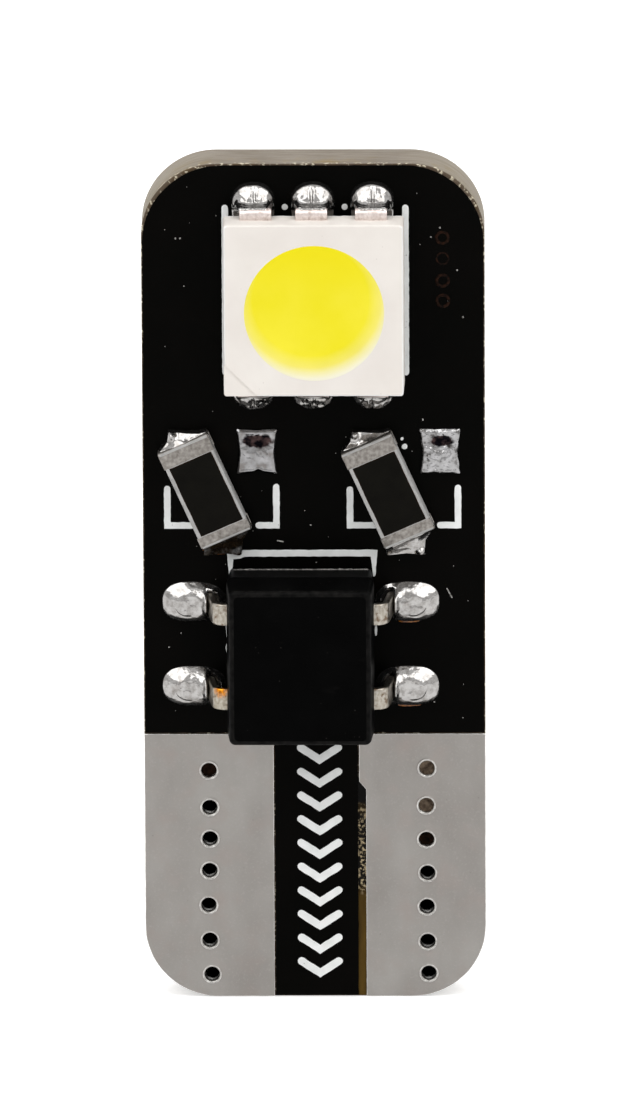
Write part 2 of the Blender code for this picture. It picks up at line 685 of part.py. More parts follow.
def load_places():
    """(name, v) of the load resistors, evenly spaced between the LED's lower pads and the contacts."""
    room = LED_CENTRE - LED_HALF_SPAN - CONTACT_HEIGHT
    gap = (room - 2 * LOAD_WIDTH) / 3
    lower = CONTACT_HEIGHT + gap + LOAD_WIDTH / 2
    return ("load_lower", lower), ("load_upper", lower + LOAD_WIDTH + gap)


def load_pad():
    """(offset, length) of a load resistor's pad along the resistor."""
    inner = LOAD_LENGTH / 2 - LOAD_PAD_INNER
    outer = LOAD_LENGTH / 2 + LOAD_PAD_OUTER
    return (inner + outer) / 2, outer - inner


def load_resistor(face, prefix, v):
    """A load resistor across the board, each cap and its solder one piece."""
    home = frame(f"{prefix}_frame", face, (0, v, 0), (0, 0, math.pi / 2))
    size = (LOAD_LENGTH, LOAD_WIDTH, LOAD_HEIGHT)
    chip_resistor(prefix, home, *size, LOAD_CAP_LENGTH)
    space = chip_space(f"{prefix}_space", home, *size, CAP_THICKNESS + SEAT_GAP / 2)
    offset, length = load_pad()
    for label, turn in (("right", math.pi), ("left", 0)):
        name = f"{prefix}_terminal_{label}"
        cap = chip_cap(name, *size, LOAD_CAP_LENGTH, home, turn)
        data = mound(f"{name}_solder", LOAD_WIDTH + 2 * LOAD_PAD_SIDE, length, LOAD_SOLDER_HEIGHT,
                     SQUARENESS["chip"])
        solder = cutter(f"{name}_solder", data, home, (0, offset * math.cos(turn), 0), turn)
        combine(solder, space)
        combine(cap, solder, "UNION")


# Assembly


def led_windows(centre):
    """Mask openings of one LED's pads."""
    up = led_pad_centre()
    return [window(u, centre + up * math.cos(turn), LED_PAD_WIDTH, LED_PAD_LENGTH, LED_PAD_WIDTH / 4)
            for u, turn in led_places()]


def front_windows():
    """Mask openings of the front's pads."""
    openings = led_windows(LED_CENTRE)
    for u, v, _ in bridge_pad_places():
        openings.append(window(u - BRIDGE_SHIFT, BRIDGE_CENTRE + v, BRIDGE_PAD_LENGTH, BRIDGE_PAD_WIDTH,
                               BRIDGE_PAD_WIDTH / 3))
    for side in (-1, 1):
        for u, v in footprint_pads():
            openings.append(window(side * FOOTPRINT_SPACING / 2 + u, FOOTPRINT_CENTRE + v,
                                   FOOTPRINT_PAD_WIDTH, FOOTPRINT_PAD_HEIGHT, 0))
    return openings


def back_windows():
    """Mask openings of the back's pads."""
    openings = led_windows(LED_CENTRE)
    offset, length = load_pad()
    for _, v in load_places():
        for side in (-1, 1):
            openings.append(window(side * offset, v, length, LOAD_WIDTH + 2 * LOAD_PAD_SIDE, 0))
    return openings


def build():
    """Makes the whole bulb."""
    start_scene()
    board = frame("board_frame", None, (0, 0, 0), (math.pi / 2, 0, 0))
    front = frame("front_face", board, (0, 0, BOARD_THICKNESS / 2))
    back = frame("back_face", board, (0, 0, -BOARD_THICKNESS / 2), (0, math.pi, 0))
    laminate(board)
    contact(board, "contact_left", -1)
    contact(board, "contact_right", 1)
    mask(front, "solder_mask_front", front_windows(), mirrored=False)
    mask(back, "solder_mask_back", back_windows(), mirrored=True)
    led("front_led", front, join_solder=False)
    led("back_led", back, join_solder=True)
    bridge(front)
    front_resistor(front, "resistor_left", -1)
    front_resistor(front, "resistor_right", 1)
    for name, v in load_places():
        load_resistor(back, name, v)


build()
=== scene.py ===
import math
import random

import bmesh
import bpy
from mathutils import Matrix, Vector, noise


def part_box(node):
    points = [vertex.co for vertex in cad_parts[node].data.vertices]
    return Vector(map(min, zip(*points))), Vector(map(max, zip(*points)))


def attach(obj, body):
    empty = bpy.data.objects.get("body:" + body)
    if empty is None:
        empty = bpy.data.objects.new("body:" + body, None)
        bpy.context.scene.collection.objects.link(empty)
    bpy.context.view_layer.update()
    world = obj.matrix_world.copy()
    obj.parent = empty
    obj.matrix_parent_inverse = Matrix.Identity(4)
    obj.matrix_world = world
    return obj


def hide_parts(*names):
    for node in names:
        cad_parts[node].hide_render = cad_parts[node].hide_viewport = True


# Lengths are in millimetres unless a name says otherwise. Each face of the board has its own frame:
# u runs across it, v up it and h stands off its bare laminate.

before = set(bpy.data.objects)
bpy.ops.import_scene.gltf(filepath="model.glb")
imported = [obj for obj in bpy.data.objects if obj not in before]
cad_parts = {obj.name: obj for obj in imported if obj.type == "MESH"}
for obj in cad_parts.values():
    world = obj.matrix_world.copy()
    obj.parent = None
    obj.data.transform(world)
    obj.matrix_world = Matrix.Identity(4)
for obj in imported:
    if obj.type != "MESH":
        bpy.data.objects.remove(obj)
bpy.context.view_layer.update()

# What the unevenness of the outlines is drawn from
NOISE_SEED = 5
noise.seed_set(NOISE_SEED)

MM = 0.001
FRONT, BACK = 1, -1
HALF_TURN, QUARTER_TURN = math.pi, math.pi / 2
BOARD_HALF = 0.8

# Heights of the thin layers over the laminate
MASK_LOW, MASK_TOP = 0.01, 0.05
PLATE_LOW, PLATE_TOP = 0.01, 0.06
INK_TOP = 0.066
PAD_TOP = 0.05


# Finishes


def srgb(colour):
    """A screen colour of 0 to 255 as linear light."""
    def one(value):
        value /= 255
        return value / 12.92 if value <= 0.04045 else ((value + 0.055) / 1.055) ** 2.4
    return (*map(one, colour), 1.0)


class Finish:
    """A material whose colour, roughness and relief come from patterns in the object's own space."""

    def __init__(self, name, metal=0.0, specular=0.5):
        self.material = bpy.data.materials.new(name)
        self.material.use_nodes = True
        self.tree = self.material.node_tree
        self.shader = self.tree.nodes["Principled BSDF"]
        self.feed(self.shader, {"Metallic": metal, "Specular IOR Level": specular})
        self.place = self.node("TexCoord").outputs["Object"]

    def feed(self, node, inputs):
        """Gives a node's inputs their values or other nodes' outputs."""
        for key, value in inputs.items():
            if isinstance(value, bpy.types.NodeSocket):
                self.tree.links.new(value, node.inputs[key])
            else:
                node.inputs[key].default_value = value

    def node(self, kind, inputs=None, **settings):
        """A node with its settings and its inputs."""
        made = self.tree.nodes.new(f"ShaderNode{kind}")
        for key, value in settings.items():
            setattr(made, key, value)
        self.feed(made, inputs or {})
        return made

    def math(self, operation, first, second=0.0):
        """One step of arithmetic."""
        return self.node("Math", {0: first, 1: second}, operation=operation).outputs[0]

    def times(self, first, second):
        """A product."""
        return self.math("MULTIPLY", first, second)

    def spread(self, size, stretch=(1, 1, 1), offset=(0, 0, 0)):
        """The object's own space, counted in steps of a size."""
        scale = [1 / (size * MM * s) for s in stretch]
        return self.node("Mapping", {"Vector": self.place, "Scale": scale, "Location": offset}).outputs[0]

    def noise(self, size, detail=3.0, stretch=(1, 1, 1), offset=(0, 0, 0), sharp=0.5):
        """A cloudy pattern with features of about a size, from 0 to 1."""
        place = self.spread(size, stretch, offset)
        inputs = {"Vector": place, "Scale": 1.0, "Detail": detail, "Roughness": sharp}
        return self.node("TexNoise", inputs).outputs[0]

    def cells(self, size):
        """Distance to the nearest point of a scattered set."""
        return self.node("TexVoronoi", {"Vector": self.spread(size), "Scale": 1.0}).outputs["Distance"]

    def along(self, axis):
        """The object's own coordinate along an axis, in millimetres."""
        split = self.node("SeparateXYZ", {0: self.place})
        return self.math("DIVIDE", split.outputs[axis], MM)

    def away(self, place):
        """The distance from a place given in metres, in millimetres."""
        far = self.node("VectorMath", {0: self.place, 1: place}, operation="DISTANCE").outputs["Value"]
        return self.math("DIVIDE", far, MM)

    def sway(self, value, amount):
        """A pattern of 0 to 1 as an unevenness about zero."""
        return self.times(self.math("SUBTRACT", value, 0.5), amount)

    def band(self, value, low, high):
        """The share of the way from low to high, held between 0 and 1."""
        return self.node("MapRange", {"Value": value, "From Min": low, "From Max": high}).outputs[0]

    def ramp(self, value, *stops):
        """Screen colours at places from 0 to 1."""
        made = self.node("ValToRGB", {0: value})
        points = made.color_ramp.elements
        while len(points) < len(stops):
            points.new(0.5)
        for point, (place, colour) in zip(points, stops):
            point.position = place
            point.color = srgb(colour)
        return made.outputs[0]

    def mix(self, share, first, second, amount=1.0):
        """Two colours mixed by a share, which counts for an amount of itself."""
        share = share if amount == 1.0 else self.times(share, amount)
        first, second = (c if isinstance(c, bpy.types.NodeSocket) else srgb(c) for c in (first, second))
        return self.node("Mix", {0: share, 6: first, 7: second}, data_type="RGBA").outputs[2]

    def colour(self, value):
        """Sets the base colour."""
        self.feed(self.shader, {"Base Color": value})

    def roughness(self, value, low, high):
        """Sets the roughness, from a pattern spread over a range."""
        spread = self.node("MapRange", {"Value": value, "To Min": low, "To Max": high})
        self.feed(self.shader, {"Roughness": spread.outputs[0]})

    def relief(self, value, depth, strength=1.0, over=None):
        """Sets relief of a depth in millimetres, over an earlier one if given, and returns it."""
        inputs = {"Height": value, "Distance": depth * MM, "Strength": strength}
        if over is not None:
            inputs["Normal"] = over
        made = self.node("Bump", inputs).outputs[0]
        self.feed(self.shader, {"Normal": made})
        return made


def mottle(name, dark, light, size, rough, grain, **settings):
    """A finish with cloudy colour, uneven gloss and a fine grain of a size and a depth."""
    made = Finish(name, **settings)
    made.colour(made.ramp(made.noise(size, 4), (0.32, dark), (0.68, light)))
    made.roughness(made.noise(size / 2, 4, offset=(3, 1, 2)), *rough)
    made.relief(made.noise(grain[0], 4, offset=(7, 5, 1)), grain[1])
    return made


def laminate_finish():
    """Glass cloth in resin: beige, layered along the milled edge, browned where it meets the mask."""
    made = Finish("laminate", specular=0.06)
    across, depth, up = (made.along(axis) for axis in "XYZ")
    base = made.mix(made.noise(1.1), (112, 102, 89), (139, 130, 117))
    layers = made.band(made.noise(0.1, stretch=(12, 1, 12)), 0.45, 0.7)
    base = made.mix(layers, base, (104, 92, 76), 0.16)
    base = made.mix(made.band(made.math("ABSOLUTE", across), 2.4, 4.3), base, (166, 157, 141), 0.6)
    golden = made.times(made.band(made.noise(0.7, offset=(3, 7, 2)), 0.52, 0.7), made.band(depth, 0.1, -0.6))
    base = made.mix(golden, base, (136, 116, 70), 0.7)
    # A brown line and pale chips along the front border of the milled edge
    base = made.mix(made.band(depth, -0.7, -0.79), base, (64, 44, 26), 0.75)
    chips = made.times(made.band(depth, -0.58, -0.7), made.band(made.noise(0.11), 0.56, 0.64))
    base = made.mix(chips, base, (206, 196, 172))
    # The bare band beside the right contact: dark above, with residue on the front below it, then resin
    in_band = made.times(made.band(across, 1.1, 1.2), made.band(across, 1.7, 1.5))
    in_band = made.times(in_band, made.band(up, 6.9, 6.6))
    residue = made.ramp(made.noise(0.1, 5), (0.5, (10, 8, 6)), (0.62, (186, 168, 134)))
    resin = made.mix(made.noise(0.5, stretch=(0.3, 1, 3)), (30, 21, 8), (104, 80, 32))
    upper = made.times(made.band(up, 3.0, 3.4), made.band(up, 5.9, 5.5))
    bare = made.mix(made.band(up, 5.5, 5.9), resin, (7, 6, 5))
    bare = made.mix(made.times(upper, made.band(depth, 0.1, -0.1)), bare, residue)
    made.colour(made.mix(in_band, base, bare))
    made.roughness(layers, 0.45, 0.75)
    rough = made.relief(made.noise(0.05, 4, (5, 1, 5)), 0.02, 0.7)
    made.relief(made.noise(0.3, offset=(4, 4, 4)), 0.02, 0.6, rough)
    return made


def mask_finish():
    """Black solder mask: nearly black, faintly brown, with a shallow orange peel."""
    made = Finish("solder_mask", specular=0.015)
    made.colour(made.ramp(made.noise(2.2, 4), (0.3, (4, 4, 3)), (0.7, (7, 6, 5)), (0.85, (15, 10, 7))))
    made.roughness(made.noise(0.7, 4), 0.22, 0.42)
    made.relief(made.noise(0.25), 0.004, 0.5)
    return made


def tin_finish():
    """Matt tin over copper: grey with fine grain, faint smears and pinholes."""
    made = Finish("tinned_contact", metal=1.0)
    smear, grain = made.noise(1.5, 4, (1, 1, 1.6)), made.noise(0.06)
    base = made.ramp(smear, (0.3, (130, 126, 122)), (0.7, (146, 143, 139)))
    base = made.mix(made.band(grain, 0.55, 0.8), base, (160, 157, 153), 0.35)
    base = made.mix(made.band(made.noise(0.8, 4, offset=(5, 1, 9)), 0.5, 0.75), base, (142, 132, 127), 0.5)
    made.colour(made.mix(made.band(made.cells(0.5), 0.06, 0.02), base, (104, 99, 93), 0.4))
    made.roughness(smear, 0.42, 0.58)
    made.relief(grain, 0.004, 0.4)
    return made


def hole_finish():
    """The wall of a plated hole: bright metal at the mouth, painted black shade further in."""
    made = Finish("plated_hole", specular=0.0)
    inward = made.math("ABSOLUTE", made.along("Y"))
    mouth = made.band(made.math("ADD", inward, made.sway(made.noise(0.12), 0.3)), 0.5, 0.64)
    made.feed(made.shader, {"Metallic": mouth})
    # Painted shade: away from its mouths the wall is coloured black and made dull, as a deep hole falls dark.
    made.colour(made.mix(mouth, (5, 4, 4), (206, 204, 200)))
    made.roughness(made.noise(0.1), 0.2, 0.4)
    made.relief(made.noise(0.08), 0.006, 0.5)
    return made


def housing_finish():
    """White moulded plastic, slightly warm, with faint clouding and a few fine specks."""
    made = Finish("white_housing", specular=0.35)
    base = made.ramp(made.noise(1.4, 4), (0.3, (234, 227, 220)), (0.7, (241, 235, 228)))
    made.colour(made.mix(made.band(made.cells(0.45), 0.05, 0.015), base, (170, 160, 150), 0.35))
    made.roughness(made.noise(0.5), 0.42, 0.56)
    made.relief(made.noise(0.09), 0.003, 0.4)
    return made


# The fade runs between these radii about a point set off from the gel's centre
GEL_FADE = (1.66, 2.36)
GEL_FADE_OFF = (-0.1, 0.384)


def gel_finish(name, centre, face):
    """Phosphor in silicone: vivid yellow that fades to the white cup at its rim."""
    made = Finish(name, specular=0.2)
    x, y, z = centre
    middle = (x + GEL_FADE_OFF[0] * face * MM, y, z + GEL_FADE_OFF[1] * MM)
    radius = made.math("ADD", made.away(middle), made.sway(made.noise(0.5), 0.05))
    yellow = made.ramp(made.noise(1.3, 4), (0.3, (243, 229, 24)), (0.7, (250, 236, 54)))
    yellow = made.mix(made.band(made.along("Z"), z / MM + 0.5, z / MM + 1.7), yellow, (246, 230, 6))
    greys = (0.0, (0, 0, 0)), (0.5, (120, 120, 120)), (1.0, (255, 255, 255))
    made.colour(made.mix(made.ramp(made.band(radius, *GEL_FADE), *greys), yellow, (247, 243, 220)))
    made.roughness(made.noise(0.3), 0.3, 0.42)
    made.relief(made.noise(0.4), 0.004, 0.4)
    return made


def solder_finish():
    """Reflowed solder: bright, with frosted grain and brown flux stains."""
    made = Finish("solder", metal=0.97)
    base = made.ramp(made.noise(0.16, 5, sharp=0.6), (0.34, (134, 131, 128)), (0.6, (168, 166, 164)))
    stain = made.band(made.noise(0.32, 4, offset=(9, 2, 5)), 0.6, 0.72)
    made.colour(made.mix(stain, base, (92, 78, 66), 0.3))
    made.roughness(made.noise(0.2, 4, offset=(2, 8, 3)), 0.03, 0.2)
    fine = made.relief(made.noise(0.06), 0.003, 0.4)
    made.relief(made.noise(0.25, 2, offset=(1, 6, 2)), 0.02, 0.7, fine)
    return made


def spare_finish(name, middle, half, grey, contrast, depth):
    """Solder on a spare pad: clouds about a grey, and a dark hollow with a middle and a half size."""
    made = Finish(name, metal=1.0)
    aside, above = (made.math("DIVIDE", made.math("SUBTRACT", made.along(axis), place), size)
                    for axis, place, size in zip("XZ", middle, half))
    away = made.math("SQRT", made.math("ADD", made.times(aside, aside), made.times(above, above)))
    away = made.math("ADD", away, made.times(made.noise(0.2, 4), 0.9))
    dark = grey - contrast
    cloud = made.ramp(made.noise(0.22, 4), (0.32, (dark, dark - 4, dark - 6)),
                      (0.46, (grey - 6, grey - 7, grey - 7)), (0.7, (grey + 16, grey + 15, grey + 16)))
    hollow = made.ramp(made.noise(0.2, 4), (0.46, (9, 8, 11)), (0.66, (60, 47, 46)))
    made.colour(made.mix(made.band(away, 1.5, 1.3), cloud, hollow))
    made.roughness(made.noise(0.2, 4, offset=(2, 8, 3)), 0.05, 0.25)
    made.relief(made.noise(0.2, offset=(1, 6, 2)), depth, 0.7)
    return made


def lead_finish(name, dark, light, stain, amount, spot=None):
    """A tinned copper lead with a drawn grain and flux stains, and flux dried on it at a spot."""
    made = Finish(name, metal=1.0)
    grain = made.noise(0.08, 4, (1, 1, 1.5))
    base = made.ramp(grain, (0.3, dark), (0.7, light))
    base = made.mix(made.band(made.noise(0.17, 4, offset=(5, 3, 8)), 0.56, 0.66), base, stain, amount)
    if spot:
        away = made.math("ADD", made.away(spot), made.times(made.noise(0.12, 4), 0.3))
        amber = made.ramp(made.noise(0.09), (0.35, (120, 68, 14)), (0.65, (226, 142, 36)))
        base = made.mix(made.band(away, 0.42, 0.26), base, amber)
    made.colour(base)
    made.roughness(made.noise(0.15), 0.22, 0.42)
    made.relief(grain, 0.005, 0.6)
    return made


def epoxy_finish():
    """Moulded black epoxy: satin, with fine filler grain and faint rubs."""
    made = Finish("black_epoxy", specular=0.012)
    base = made.ramp(made.noise(1.1, 4), (0.3, (3, 3, 3)), (0.75, (6, 6, 6)))
    base = made.mix(made.band(made.noise(0.4, 5, (2, 1, 0.6)), 0.66, 0.8), base, (24, 23, 22), 0.3)
    made.colour(made.mix(made.band(made.cells(0.32), 0.07, 0.02), base, (96, 92, 88), 0.25))
    made.roughness(made.noise(0.5, 4), 0.34, 0.5)
    made.relief(made.noise(0.07), 0.006, 0.5)
    return made


def flux_finish():
    """Flux residue: a thin amber to brown glaze."""
    made = Finish("flux_residue", specular=0.4)
    made.colour(made.ramp(made.noise(0.18, 4), (0.3, (58, 28, 8)), (0.55, (122, 70, 22)),
                          (0.75, (196, 124, 38))))
    made.roughness(made.noise(0.1), 0.12, 0.3)
    made.relief(made.noise(0.12), 0.01, 0.6)
    return made


def ink_finish():
    """White legend ink: chalky, with worn pinholes."""
    made = Finish("legend_ink", specular=0.2)
    base = made.ramp(made.noise(0.35, 4), (0.3, (232, 234, 232)), (0.7, (247, 248, 247)))
    worn = made.band(made.noise(0.07, offset=(2, 2, 7)), 0.7, 0.78)
    made.colour(made.mix(worn, base, (120, 118, 112), 0.7))
    made.roughness(made.noise(0.2), 0.55, 0.75)
    made.relief(made.noise(0.05), 0.004, 0.6)
    return made


FLUX_SPOT = (-2.70 * MM, -(BOARD_HALF + 1.45) * MM, 9.72 * MM)
LAMINATE, MASK, TIN, HOLE = laminate_finish(), mask_finish(), tin_finish(), hole_finish()
HOUSING, SOLDER, EPOXY = housing_finish(), solder_finish(), epoxy_finish()
FLUX, INK = flux_finish(), ink_finish()
LED_LEAD = lead_finish("led_lead", (198, 184, 178), (226, 215, 210), (150, 128, 118), 0.4)
BRIDGE_LEAD = lead_finish("bridge_lead", (132, 124, 112), (172, 167, 158), (84, 60, 36), 0.75)
AMBER_LEAD = lead_finish("amber_lead", (132, 124, 110), (172, 166, 154), (84, 60, 36), 0.6, FLUX_SPOT)
# Partly painted highlight: the plates' rounded edges get a lighter tin than the flat plates, as well as a
# glossier one.
TIN_BEAD_HIGHLIGHT = mottle("tin_bead_painted_highlight", (158, 155, 151), (200, 198, 194), 0.25, (0.12, 0.3), (0.12, 0.006), metal=1.0)
# Partly painted highlight: the inner slopes of the hole rims get a lighter tin, as well as a glossier one.
HOLE_RIM_HIGHLIGHT = mottle("hole_rim", (146, 143, 139), (200, 198, 195), 0.12, (0.08, 0.24), (0.08, 0.012), metal=1.0)
# Painted shade: a darker copy of the white housing for its side walls.
HOUSING_SIDE_SHADE = mottle("housing_side_painted_shade", (220, 213, 206), (230, 224, 217), 0.5, (0.45, 0.6), (0.1, 0.006),
                      specular=0.3)
# Painted highlight: a lighter copy of the white housing for the bevels that don't face up and the top of the
# lip.
HOUSING_EDGE_HIGHLIGHT = mottle("housing_edge_painted_highlight", (242, 240, 237), (250, 249, 247), 0.4, (0.4, 0.55), (0.1, 0.004),
                      specular=0.35)
BROWN_JOINT = mottle("flux_over_solder", (6, 5, 4), (40, 30, 18), 0.2, (0.12, 0.35), (0.1, 0.02),
                     specular=0.35)
# Partly painted highlight: the moulding's rounded top edges are coloured lighter than its faces, as well as
# being glossier.
EPOXY_EDGE_SHEEN = mottle("moulding_edge_painted_sheen", (4, 4, 4), (24, 23, 22), 0.2, (0.3, 0.5), (0.06, 0.006), specular=0.03)
CERAMIC = mottle("white_ceramic", (160, 159, 157), (182, 181, 179), 0.3, (0.45, 0.6), (0.04, 0.004),
                 specular=0.3)
COAT = mottle("resistor_coat", (17, 16, 14), (21, 20, 17), 0.6, (0.4, 0.55), (0.05, 0.003), specular=0.015)
COAT_EDGE = mottle("coat_edge", (20, 14, 9), (56, 34, 17), 0.15, (0.4, 0.6), (0.05, 0.004), specular=0.03)
END_CAP = mottle("end_cap", (104, 99, 94), (148, 144, 139), 0.12, (0.34, 0.52), (0.05, 0.008), metal=1.0)
# Pale grey on black flash: partly dust, partly a painted highlight where the ridge catches the light.
FLASH_DUST_AND_HIGHLIGHT = mottle("moulding_flash_dust_and_painted_highlight", (30, 29, 28), (150, 147, 143), 0.09, (0.4, 0.6), (0.05, 0.01), specular=0.2)
DUST = mottle("dust", (96, 94, 90), (190, 188, 184), 0.05, (0.6, 0.8), (0.03, 0.004), specular=0.2)
TENT = mottle("tented_hole_rim", (8, 6, 5), (42, 24, 15), 0.1, (0.15, 0.3), (0.05, 0.006), specular=0.03)
DARK_PLUG = mottle("dark_hole_fill", (4, 3, 2), (34, 20, 12), 0.12, (0.3, 0.5), (0.06, 0.012), specular=0.015)
PLUG = mottle("hole_fill", (48, 37, 28), (112, 97, 82), 0.14, (0.3, 0.5), (0.06, 0.012), specular=0.06)


# Pieces


def linked(name, data):
    """A new object of some data, in the scene."""
    obj = bpy.data.objects.new(name, data)
    bpy.context.scene.collection.objects.link(obj)
    return obj


def as_data(name, shape):
    """A shape as mesh data, which ends the shape."""
    data = bpy.data.meshes.new(name)
    shape.to_mesh(data)
    shape.free()
    return data


def as_shape(data):
    """Mesh data as a shape, which ends the data."""
    shape = bmesh.new()
    shape.from_mesh(data)
    bpy.data.meshes.remove(data)
    return shape


def joined(*shapes):
    """Several shapes as one."""
    whole = bmesh.new()
    for shape in shapes:
        data = as_data("part", shape)
        whole.from_mesh(data)
        bpy.data.meshes.remove(data)
    return whole


def face_matrix(face):
    """From (u, v, h) on a face, in millimetres, to the row frame in metres."""
    rows = ((face, 0, 0, 0), (0, 0, -face, -face * BOARD_HALF), (0, 1, 0, 0), (0, 0, 0, 1))
    return Matrix.Scale(MM, 4) @ Matrix(rows)


def face_place(node, face=FRONT):
    """The middle and the half size of a CAD node on a face, as (u, v, h) in millimetres."""
    low, high = (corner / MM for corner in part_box(node))
    middle, half = (low + high) / 2, (high - low) / 2
    place = Vector((face * middle.x, middle.z, -face * middle.y - BOARD_HALF))
    return place, Vector((half.x, half.z, half.y))


def piece(name, shape, finishes, replaces=(), face=FRONT, turn=0.0, at=(0, 0, 0)):
    """Makes a piece of a shape built in millimetres, set on a face and turned about its h."""
    home = face_matrix(face) @ Matrix.Translation(at) @ Matrix.Rotation(turn, 4, "Z")
    bmesh.ops.transform(shape, matrix=home, verts=shape.verts)
    bmesh.ops.recalc_face_normals(shape, faces=shape.faces)
    data = as_data(name, shape)
    for finish in finishes:
        data.materials.append(finish.material)
    obj = linked(name, data)
    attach(obj, "root")
    if replaces:
        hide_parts(*replaces)


# Outlines


def compass(count):
    """Evenly spread directions, each as its cosine and its sine."""
    angles = (math.tau * k / count for k in range(count))
    return [(math.cos(a), math.sin(a)) for a in angles]


def circle(u, v, radius, sides=32):
    """The outline of a round hole."""
    return [Vector((u + radius * c, v + radius * s)) for c, s in compass(sides)]


def rounded(corners, steps=8, closed=True):
    """Points of a line through (x, y, radius) corners, each rounded by an arc of its radius."""
    points = []
    last = len(corners) - 1
    for i, (x, y, radius) in enumerate(corners):
        here = Vector((x, y))
        if radius == 0 or (not closed and i in (0, last)):
            points.append(here)
            continue
        before = (Vector(corners[i - 1][:2]) - here).normalized()
        after = (Vector(corners[(i + 1) % len(corners)][:2]) - here).normalized()
        half_angle = before.angle(after) / 2
        centre = here + (before + after).normalized() * radius / math.sin(half_angle)
        start = here + before * radius / math.tan(half_angle) - centre
        end = here + after * radius / math.tan(half_angle) - centre
        sweep = start.angle_signed(end)
        for k in range(steps + 1):
            points.append(centre + Matrix.Rotation(-sweep * k / steps, 2) @ start)
    return points


def rectangle(half_u, half_v, radius, steps, middle=(0, 0)):
    """The outline of a rectangle with rounded corners."""
    signs = ((-1, -1), (1, -1), (1, 1), (-1, 1))
    return rounded([(middle[0] + a * half_u, middle[1] + b * half_v, radius) for a, b in signs], steps)


def wander(points, amount, size, seed):
    """A closed outline with its edges divided and moved about a little."""
    out = []
    for i, here in enumerate(points):
        after = points[(i + 1) % len(points)]
        steps = max(1, int((after - here).length / size))
        for k in range(steps):
            p = here.lerp(after, k / steps)
            push = noise.noise_vector(Vector((p.x, p.y, seed * 7.3)) / (2.5 * size))
            out.append(p + Vector((push.x, push.y)) * amount)
    return out


def sideways(path, sharpest):
    """For each point of a path, the step to its left that keeps a strip's width round a bend."""
    steps = []
    for i, here in enumerate(path):
        before = here - path[i - 1] if i else path[1] - here
        after = path[i + 1] - here if i < len(path) - 1 else before
        first, second = (Vector((-d.y, d.x)).normalized() for d in (before, after))
        side = (first + second).normalized()
        steps.append(side / max(sharpest, side.dot(first)))
    return steps


def ribbon(path, widths, cap_steps=5):
    """The outline of a painted line along a path, with round ends."""
    if isinstance(widths, float):
        widths = [widths] * len(path)
    path = [Vector(p) for p in path]
    steps = [step * width / 2 for step, width in zip(sideways(path, 0.35), widths)]
    left = [here + step for here, step in zip(path, steps)]
    right = [here - step for here, step in zip(path, steps)]

    def cap(centre, start):
        turns = [Matrix.Rotation(-HALF_TURN * k / cap_steps, 2) for k in range(1, cap_steps)]
        return [centre + turn @ (start - centre) for turn in turns]

    return left + cap(path[-1], left[-1]) + right[::-1] + cap(path[0], right[0])


def unit_reach(c, s, power):
    """How far a superellipse of half size 1 reaches in a direction: round at power 2, squarer above it."""
    return (abs(c) ** power + abs(s) ** power) ** (-1 / power)


def superellipse(half_u, half_v, power=2):
    """The outline of a pad or a pool about its middle."""
    def reach(angle):
        c, s = math.cos(angle), math.sin(angle)
        size = unit_reach(c, s, power)
        return half_u * c * size, half_v * s * size
    return reach


def joint_pad(half_u, middle, outer, inner, powers, swell, seed):
    """A lead's joint about (0, middle): its reach outward and inward, and how square it is each way."""
    full, amount, size = swell

    def outline(angle):
        c, s = math.cos(angle), math.sin(angle)
        half_v, power = (outer, powers[0]) if s > 0 else (inner, powers[1])
        reach = unit_reach(c, s, power) * (full + amount * ripple(c, s, size, seed))
        return half_u * c * reach, middle + half_v * s * reach
    return outline


def star(points, centre):
    """The outline of a polygon as its reach from a centre inside it."""
    middle = Vector(centre)
    corners = [Vector(p) - middle for p in points]

    def outline(angle):
        ray = Vector((math.cos(angle), math.sin(angle)))
        best = 0.0
        for i, here in enumerate(corners):
            edge = corners[(i + 1) % len(corners)] - here
            cross = ray.x * edge.y - ray.y * edge.x
            if abs(cross) < 1e-9:
                continue
            far = (here.x * edge.y - here.y * edge.x) / cross
            along = (here.x * ray.y - here.y * ray.x) / cross
            if far > 0 and -1e-6 <= along <= 1 + 1e-6:
                best = max(best, far)
        return tuple(middle + ray * best)
    return outline


# Curves of height


def hump(u, v, centre, spread, turn=0.0):
    """A smooth bump of height 1 at a centre, as wide as its spread."""
    du, dv = u - centre[0], v - centre[1]
    c, s = math.cos(turn), math.sin(turn)
    a, b = (c * du + s * dv) / spread[0], (c * dv - s * du) / spread[1]
    return math.exp(-(a * a + b * b))


def bell(value, middle, width):
    """A smooth bump of height 1 along one way."""
    return math.exp(-((value - middle) / width) ** 2)


def step_up(value, place, blur):
    """A smooth step from 0 to 1 at a place."""
    return 1 / (1 + math.exp(-(value - place) / blur))


def fade(distance, length):
    """1 up to no distance, then falling away over a length."""
    return math.exp(-max(0.0, distance) / length)


def ripple(u, v, size, seed):
    """Smooth unevenness between about -1 and 1."""
    return noise.noise(Vector((u / size, v / size, seed * 3.7)))


# Solids


def skin(shape, rings, looped=False):
    """Smooth faces between neighbouring rings of vertices, as one band for each pair."""
    bands = []
    for ring, after in zip(rings, rings[1:] + rings[:1] if looped else rings[1:]):
        band = []
        for k in range(len(ring)):
            n = (k + 1) % len(ring)
            band.append(shape.faces.new((ring[k], ring[n], after[n], after[k])))
            band[-1].smooth = True
        bands.append(band)
    return bands


def fan(shape, tip, ring, smooth=True):
    """Faces from a tip to a ring round it."""
    for here, after in zip(ring, ring[1:] + ring[:1]):
        shape.faces.new((tip, here, after)).smooth = smooth


def ends(shape, rings):
    """The flat faces that close the first and the last ring."""
    return [shape.faces.new(ring) for ring in (rings[0][::-1], rings[-1])]


